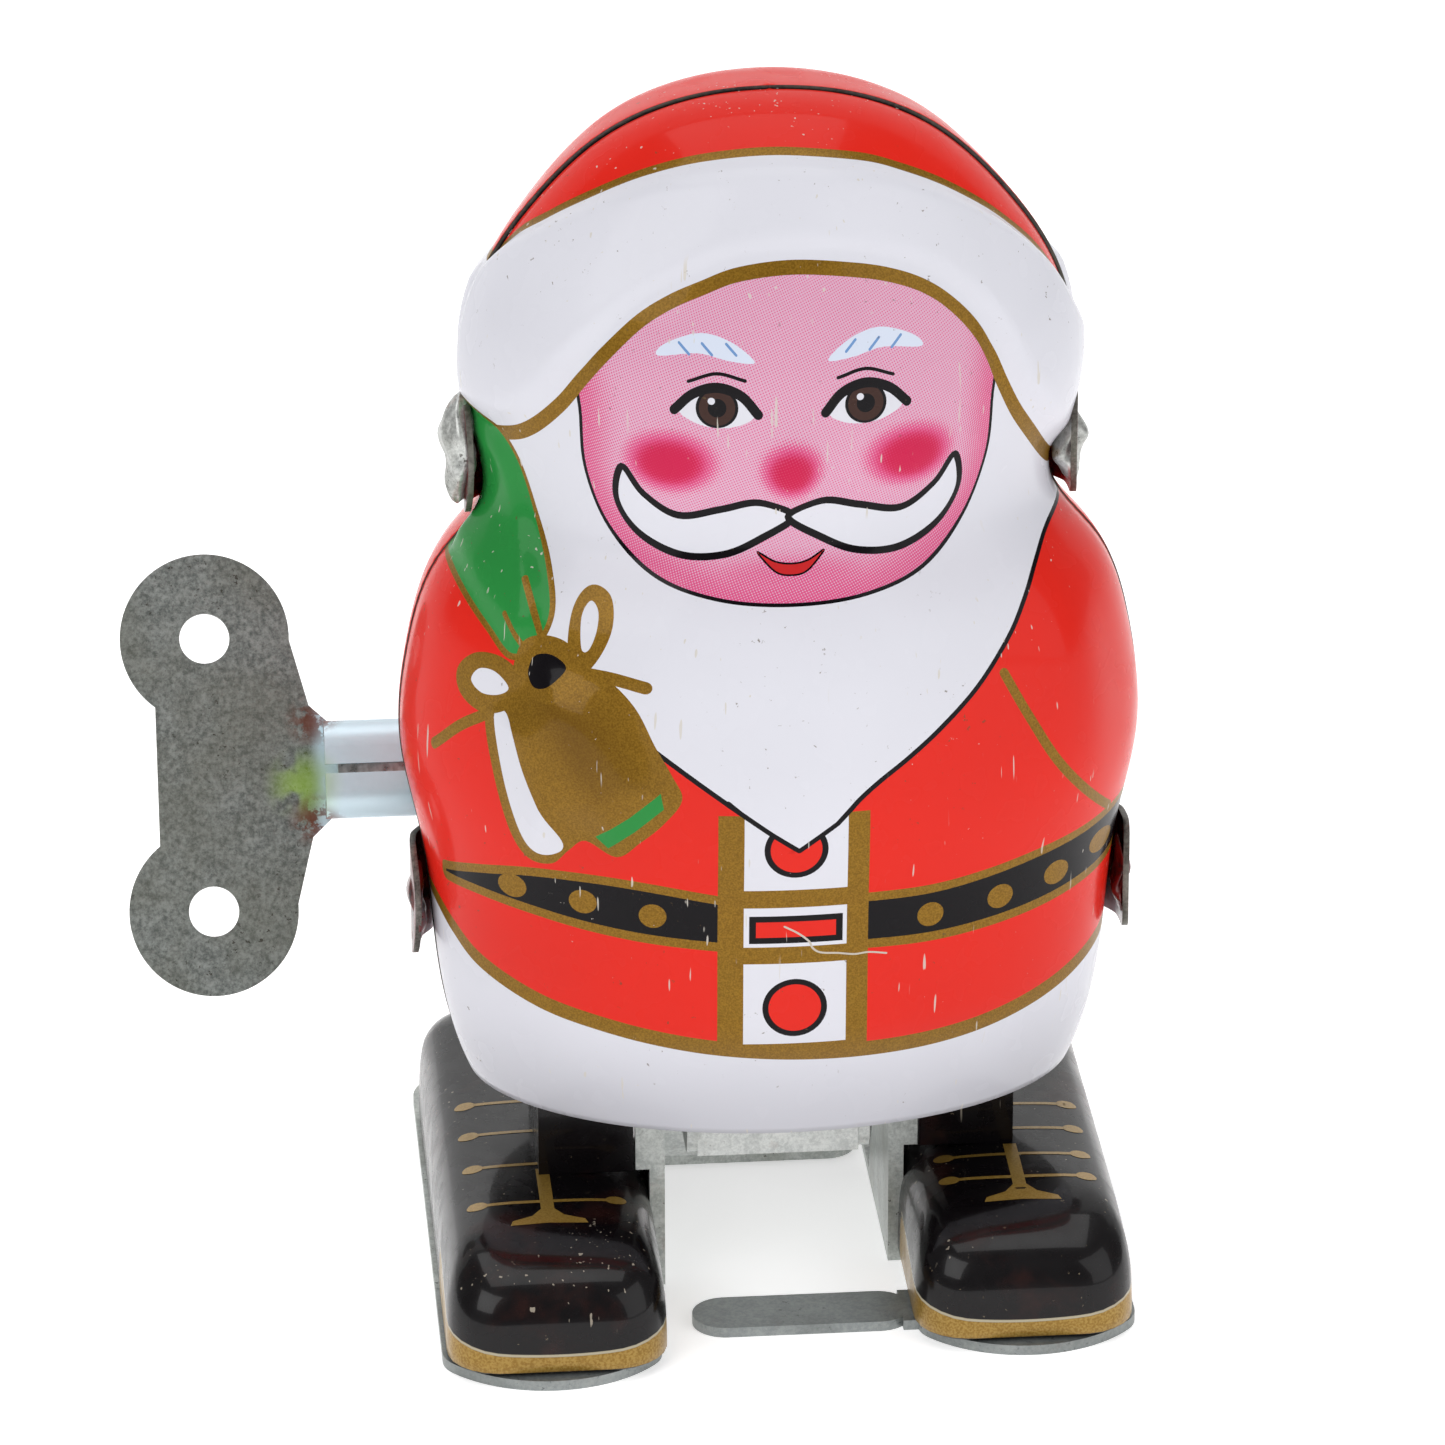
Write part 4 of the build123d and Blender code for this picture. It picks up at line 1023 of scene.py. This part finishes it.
def litho():
    """Lacquered colour print on tinplate, with halftone skin, grainy gold ink, specks and scratches, and
    painted shade on the bell and towards the hem.
    """
    paint = Finish("litho", Coat_Weight=0.15, Coat_Roughness=0.06, Specular_IOR_Level=0.08)
    tone, gilt = paint.named("tone"), paint.named("gilt")
    turned = paint.moved(paint.named("print_place", "Vector"), turn=(0, 0, HALFTONE_TURN))
    pitch = 2 * pi / HALFTONE_PITCH
    wave = paint.times(*(paint.calc("SINE", paint.times(paint.axis(turned, k), pitch)) for k in (0, 1)))
    dots = paint.span(paint.plus(paint.times(tone, 1.25), paint.times(wave, 0.5)), 0.05, 0.5)
    skin = paint.mix(dots, srgb(218, 174, 197), srgb(216, 84, 134))
    blush = paint.span(paint.plus(tone, paint.times(wave, 0.16)), 0.5, 0.95)
    skin = paint.mix(blush, skin, srgb(200, 26, 74))
    gold = paint.mix(paint.span(paint.noise(7500, 2.0), 0.3, 0.7), srgb(118, 84, 18), srgb(146, 109, 32))
    # Painted shade on the bell: its bronze darkens inwards from the edge, in broad patches.
    sweep = paint.span(paint.noise(150, 1.0), 0.35, 0.65)
    deep = paint.times(tone, paint.plus(0.25, paint.times(sweep, 0.4)))
    gold = paint.tint(gold, paint.named("bell"), deep, srgb(98, 66, 12))
    colour = paint.mix(paint.named("flesh"), paint.named("ink", "Color"), skin)
    colour = paint.mix(gilt, colour, gold)
    drift = paint.span(paint.noise(45, 2.0), 0.3, 0.7, 0.0, 0.06)
    colour = paint.mix(drift, colour, (0.03, 0.025, 0.03, 1))
    # Painted shade: the print darkens towards the hem, most at the hem and gone 10 mm above it.
    hem_shade = paint.span(paint.axis(paint.place(), 2), HEM_Z * MM, (HEM_Z + 10) * MM, 0.3, 0.0)
    colour = paint.mix(hem_shade, colour, (0.2, 0.2, 0.22, 1))
    colour = paint.tint(colour, specks(paint, 1500, 0.675, 0.73, 70), 0.75, srgb(92, 74, 48))
    worn = paint.most(scratches(paint, 25, 0.3), scratches(paint, -50, 0.7))
    worn = paint.most(worn, specks(paint, 2300, 0.71, 0.745, 110))
    colour = paint.tint(colour, worn, 0.8, srgb(206, 200, 190))
    rough = paint.plus(paint.span(paint.noise(300, 2.0), 0.3, 0.7, 0.2, 0.3), paint.times(gilt, 0.12))
    height = paint.calc("SUBTRACT", paint.noise(260, 2.0), paint.times(worn, 0.3))
    return paint.set(
        Base_Color=colour, Roughness=paint.plus(rough, paint.times(worn, 0.2)),
        Metallic=paint.times(gilt, 0.3), Normal=paint.bump(height, 0.22, 0.03),
    )


def zinc(name, low, high, rough, rust=0.0, fine=1.0, darker_low_front=False):
    """Galvanised sheet: mottled grains, fine draw marks, dark or rusty specks, and where asked a darker low
    front.
    """
    paint = Finish(name, Metallic=0.5)
    coarse = paint.noise(700 * fine, 5.0, rough=0.75)
    mottle = paint.plus(paint.times(coarse, 0.55), paint.times(paint.noise(3400, 3.0, rough=0.75), 0.45))
    colour = paint.mix(paint.span(mottle, 0.36, 0.64), srgb(*low), srgb(*high))
    colour = paint.tint(colour, paint.span(paint.noise(110, 3.0), 0.42, 0.68), 0.35, srgb(104, 104, 88))
    colour = paint.tint(colour, specks(paint, 2000, 0.62, 0.68, 130), 0.8, srgb(52, 46, 38))
    if rust:
        brown = paint.span(paint.noise(420, 4.0, rough=0.7), 0.60, 0.66)
        colour = paint.tint(colour, brown, rust, srgb(118, 62, 34))
    if darker_low_front:
        # Darker low down at the front, near the floor.
        low_down = paint.span(paint.axis(paint.place(), 2), 0.9 * MM, 3 * MM, 0.6, 0.0)
        forward = paint.span(paint.axis(paint.place(), 1), -7 * MM, -12 * MM)
        colour = paint.tint(colour, low_down, forward, srgb(104, 110, 113))
    marks = paint.noise(900, 2.0, paint.moved(paint.place(), (1, 1, 0.05)))
    height = paint.plus(paint.times(paint.noise(2600, 3.0), 0.6), paint.times(marks, 0.4))
    paint.set(Base_Color=colour, Roughness=paint.span(mottle, 0.3, 0.7, rough - 0.05, rough + 0.1),
              Normal=paint.bump(height, 0.3, 0.03))
    return paint


SHANK_FROM_X = -34.2  # where the key's plain bow gives way to its brighter shank
SMEAR_PLACE = (-34.6, 7.6, 35.8)
RUST_PLACES = [(-33.8, 10.1, 39.9), (-33.8, 6.9, 33.1)]


def key_tin():
    """The key's galvanised sheet, with a lacquer smear and rust by the shank."""
    paint = zinc("key_tin", (94, 99, 96), (150, 155, 151), 0.42, fine=2.4)
    colour = paint.shader.inputs["Base Color"].links[0].from_socket
    shank = paint.span(paint.axis(paint.place(), 0), SHANK_FROM_X * MM, (SHANK_FROM_X + 1.2) * MM)
    colour = paint.tint(colour, shank, 0.9, srgb(216, 238, 248))
    smear = paint.times(paint.close_to(SMEAR_PLACE, 1.0, 3.8), paint.span(paint.noise(420, 2.0), 0.3, 0.5))
    colour = paint.tint(colour, smear, 0.9, srgb(158, 194, 74))
    rust = paint.most(*(paint.close_to(place, 0.9, 2.8) for place in RUST_PLACES))
    rust = paint.times(rust, paint.span(paint.noise(900, 4.0, rough=0.7), 0.42, 0.52))
    return paint.set(Base_Color=paint.mix(rust, colour, srgb(112, 54, 32)), Metallic=0.55)


def metal(name, low, high, rough):
    """A plain worked metal with fine grain and slight tarnish."""
    paint = Finish(name, Metallic=1.0)
    grain = paint.noise(1800, 3.0)
    colour = paint.mix(paint.span(grain, 0.3, 0.7), srgb(*low), srgb(*high))
    colour = paint.tint(colour, specks(paint, 1500, 0.6, 0.68, 160), 0.6, srgb(60, 46, 32))
    return paint.set(Base_Color=colour, Roughness=paint.span(grain, 0.2, 0.8, rough - 0.06, rough + 0.1),
                     Normal=paint.bump(grain, 0.2, 0.02))


def black_tin(name, gilt_stripe):
    """Black lacquered tin with brown wear, scratches and dust, and a gilt stripe where asked."""
    paint = Finish(name, Coat_Weight=0.3, Coat_Roughness=0.06, Specular_IOR_Level=0.15)
    rubbed = paint.span(paint.noise(150, 4.0, rough=0.6), 0.52, 0.68)
    colour = paint.tint(srgb(12, 9, 11), rubbed, 0.5, srgb(50, 24, 20))
    colour = paint.tint(colour, specks(paint, 1900, 0.68, 0.72, 120), 0.5, srgb(150, 136, 112))
    worn = paint.most(scratches(paint, 70, 0.2), scratches(paint, 20, 0.9))
    colour = paint.tint(colour, worn, 0.7, srgb(176, 166, 150))
    rough = paint.span(paint.noise(420, 3.0), 0.3, 0.7, 0.2, 0.34)
    if gilt_stripe:
        grain = paint.span(paint.noise(5200, 2.0), 0.35, 0.65)
        gilt = paint.span(paint.named("gilt"), -0.04, 0.04)
        edge = paint.calc("ABSOLUTE", paint.plus(paint.named("over_stripe"), 0.12))
        pale = paint.times(paint.span(edge, 0.16, 0.08), paint.span(paint.named("gilt"), -0.4, -0.3))
        colour = paint.tint(colour, pale, 0.7, srgb(206, 196, 168))
        colour = paint.mix(gilt, colour, paint.mix(grain, srgb(140, 106, 40), srgb(166, 134, 66)))
        rough = paint.plus(rough, paint.times(gilt, 0.1))
        paint.set(Metallic=paint.times(gilt, 0.35))
    return paint.set(Base_Color=colour, Roughness=rough, Normal=paint.bump(paint.noise(330, 2.0), 0.2, 0.03))


def ear_lacquer():
    """Dark red lacquer, worn through at places, on the ears."""
    paint = Finish("ear_lacquer", Coat_Weight=0.4, Coat_Roughness=0.12)
    worn = paint.span(paint.noise(700, 4.0, rough=0.65), 0.5, 0.62)
    colour = paint.mix(worn, srgb(96, 22, 20), srgb(38, 30, 30))
    rough = paint.span(paint.noise(500, 3.0), 0.3, 0.7, 0.24, 0.42)
    return paint.set(Base_Color=colour, Roughness=rough, Normal=paint.bump(worn, 0.3, 0.03))


def gold_ink():
    """Gold printing ink with its metallic grain."""
    paint = Finish("gold_ink", Coat_Weight=0.4, Coat_Roughness=0.1, Metallic=0.35)
    grain = paint.noise(7500, 2.0)
    colour = paint.mix(paint.span(grain, 0.3, 0.7), srgb(142, 108, 40), srgb(170, 138, 68))
    return paint.set(Base_Color=colour, Roughness=paint.span(grain, 0.3, 0.7, 0.28, 0.42),
                     Normal=paint.bump(grain, 0.15, 0.01))


def paper():
    """The pale studio floor, which also glows a little."""
    paint = Finish("studio_floor", Emission_Color=(1, 1, 1, 1), Emission_Strength=0.5)
    shade = paint.mix(paint.noise(30, 2.0), (0.93, 0.93, 0.93, 1), (0.95, 0.95, 0.95, 1))
    return paint.set(Base_Color=shade, Roughness=paint.span(paint.noise(50, 1.0), 0.3, 0.7, 0.75, 0.85))


# ---- the object ----
LITHO = litho()
TIN = zinc("bare_tin", (120, 122, 120), (176, 178, 176), 0.34, 0.35).material
# Painted light: the mechanism's galvanised parts are a brighter copy of the legs' zinc, standing in for
# light in the shade under the body.
LIT_ZINC = zinc("galvanised", (184, 188, 186), (228, 231, 228), 0.36, 0.12).material
LEG_ZINC = zinc("leg_zinc", (162, 167, 164), (210, 214, 210), 0.36, 0.12, darker_low_front=True).material
# Near-black rims on the shells' cut edges, with rust specks: the darkness is painted shade in the seam,
# under the hem and round the key hole.
EDGE_SHADE_AND_RUST = zinc("edge_shade_and_rust", (34, 30, 30), (78, 72, 68), 0.45, 0.4).material
BRIGHT_TIN = zinc("bright_tin", (158, 160, 158), (226, 228, 225), 0.3, 0.3).material
WORN_TIN = zinc("worn_tin", (70, 66, 62), (128, 124, 118), 0.38, 0.5).material
STEEL = metal("steel", (150, 150, 148), (196, 196, 194), 0.3)
BLUED = metal("blued_steel", (56, 64, 80), (86, 94, 110), 0.32)
BRASS = metal("brass", (178, 140, 70), (212, 176, 100), 0.3)
SHOE_BLACK = black_tin("shoe_black", True)
CUFF_BLACK = black_tin("cuff_black", False)
KEY_TIN = key_tin()
GOLD_INK = gold_ink()
EAR_RED = ear_lacquer()


def wear(obj, *materials):
    """Puts materials on a piece in the order of its slots."""
    obj.data.materials.clear()
    for material in materials:
        obj.data.materials.append(material)


front = make_skin("front_skin", -FRONT_DEPTH, front_layers(), front_relief, front_tone)
back = make_skin("back_skin", BACK_DEPTH, back_layers(), back_relief, lambda flat: np.zeros(len(flat)),
                 key_hole_ring())
for skin, node, slot_name in ((front, "front_shell", "litho_front"), (back, "back_shell", "litho_back")):
    wear(skin, LITHO, TIN, EDGE_SHADE_AND_RUST)
    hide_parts(node)
    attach(skin, "root")

for side, hand in ((-1, "right"), (1, "left")):
    for site, place in zip(EAR_SITES, ("neck", "belt")):
        ear = make_ear(f"ear_{place}_{hand}", side, site)
        wear(ear, EAR_RED, WORN_TIN)
        tongue = make_tongue(f"tongue_{place}_{hand}", side, site, TONGUE_FOLDS[f"{place}_{hand}"])
        wear(tongue, BRIGHT_TIN if place == "neck" else EAR_RED)
        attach(ear, "root")
        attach(tongue, "root")
    shoe = make_shoe(f"shoe_upper_{hand}", side, FOOT_SHIFT[hand])
    wear(shoe, SHOE_BLACK)
    laces = make_laces(f"laces_{hand}", hand, shoe)
    wear(laces, GOLD_INK)
    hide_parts(f"shoe_{hand}")
    for piece in (shoe, laces):
        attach(piece, f"leg_{hand}")

CAD_FINISH = [
    (LIT_ZINC, "motor_plate_right motor_plate_left lower_strap motor_bracket crank_disc_right crank_disc_left "
           "verge"),
    (STEEL, "motor_pillars guide_studs spring_post click_rivet winding_arbor ratchet_wheel crank_axle "
            "crank_pinion crank_washers escape_arbor escape_pinion verge_arbor"),
    (BRASS, "great_wheel crank_wheel star_wheel"),
    (BLUED, "mainspring click_spring"),
    (KEY_TIN, "key"),
    (LEG_ZINC, "leg_right leg_left"),
    (CUFF_BLACK, "cuff_right cuff_left"),
]
for material, nodes in CAD_FINISH:
    for node in nodes.split():
        wear(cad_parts[node], material)
for node in ("key", "leg_right", "leg_left", "lower_strap", "cuff_right", "cuff_left"):
    round_edges(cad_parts[node], 0.1, 40)


# ---- the studio ----
FLOOR_HALF_WIDTH = 2500
FLOOR_FRONT_Y = -1500
SWEEP_FROM_Y = 900
SWEEP_RADIUS = 500
WALL_TOP = 2200
WORLD_STRENGTH = 0.24
LIGHT_TARGET = (0, 0, 0.045)


def soft_light(name, place, size, power):
    """A rectangular soft light aimed at the figure."""
    lamp = bpy.data.lights.new(name, "AREA")
    lamp.shape = "RECTANGLE"
    lamp.size, lamp.size_y = size
    lamp.energy = power
    obj = new_object(name, lamp)
    obj.location = place
    obj.rotation_euler = (Vector(LIGHT_TARGET) - Vector(place)).to_track_quat("-Z", "Y").to_euler()


def studio():
    """A pale sweep, white surroundings and three soft lights."""
    rows = [(FLOOR_FRONT_Y, 0), (SWEEP_FROM_Y, 0)]
    for degrees in range(10, 91, 10):
        a = radians(degrees)
        rows.append((SWEEP_FROM_Y + SWEEP_RADIUS * sin(a), SWEEP_RADIUS * (1 - cos(a))))
    rows.append((SWEEP_FROM_Y + SWEEP_RADIUS, WALL_TOP))
    places = [(x, y, z) for y, z in rows for x in (-FLOOR_HALF_WIDTH, FLOOR_HALF_WIDTH)]
    faces = [(2 * k, 2 * k + 1, 2 * k + 3, 2 * k + 2) for k in range(len(rows) - 1)]
    floor = mesh_from("studio_floor", places, faces)
    wear(floor, paper())
    world = bpy.data.worlds.new("studio")
    bpy.context.scene.world = world
    world.use_nodes = True
    back_light = next(n for n in world.node_tree.nodes if n.type == "BACKGROUND")
    back_light.inputs["Color"].default_value = (1, 1, 1, 1)
    back_light.inputs["Strength"].default_value = WORLD_STRENGTH
    soft_light("key_light", (-0.45, -0.5, 0.55), (0.5, 0.6), 2.5)
    soft_light("fill_light", (0.5, -0.42, 0.35), (0.6, 0.7), 1.6)
    soft_light("top_light", (0.0, 0.1, 0.8), (0.6, 0.6), 2.2)


CAMERA_TARGET = (0, 0, 0.048)
CAMERA_DISTANCE = 0.6
CAMERA_AZIMUTH = -5.19
CAMERA_ELEVATION = 22.98
CAMERA_LENS = 200.7
CAMERA_SHIFT = (-0.0323, -0.0444)


def camera():
    """The camera, in front and a little to the figure's right."""
    data = bpy.data.cameras.new("camera")
    data.sensor_width = 36
    data.lens = CAMERA_LENS
    data.shift_x, data.shift_y = CAMERA_SHIFT
    obj = new_object("camera", data)
    a, e = radians(CAMERA_AZIMUTH), radians(CAMERA_ELEVATION)
    away = Vector((sin(a) * cos(e), -cos(a) * cos(e), sin(e)))
    obj.location = Vector(CAMERA_TARGET) + away * CAMERA_DISTANCE
    obj.rotation_euler = (-away).to_track_quat("-Z", "Y").to_euler()
    bpy.context.scene.camera = obj


studio()
camera()
bpy.context.scene.view_settings.view_transform = "Standard"
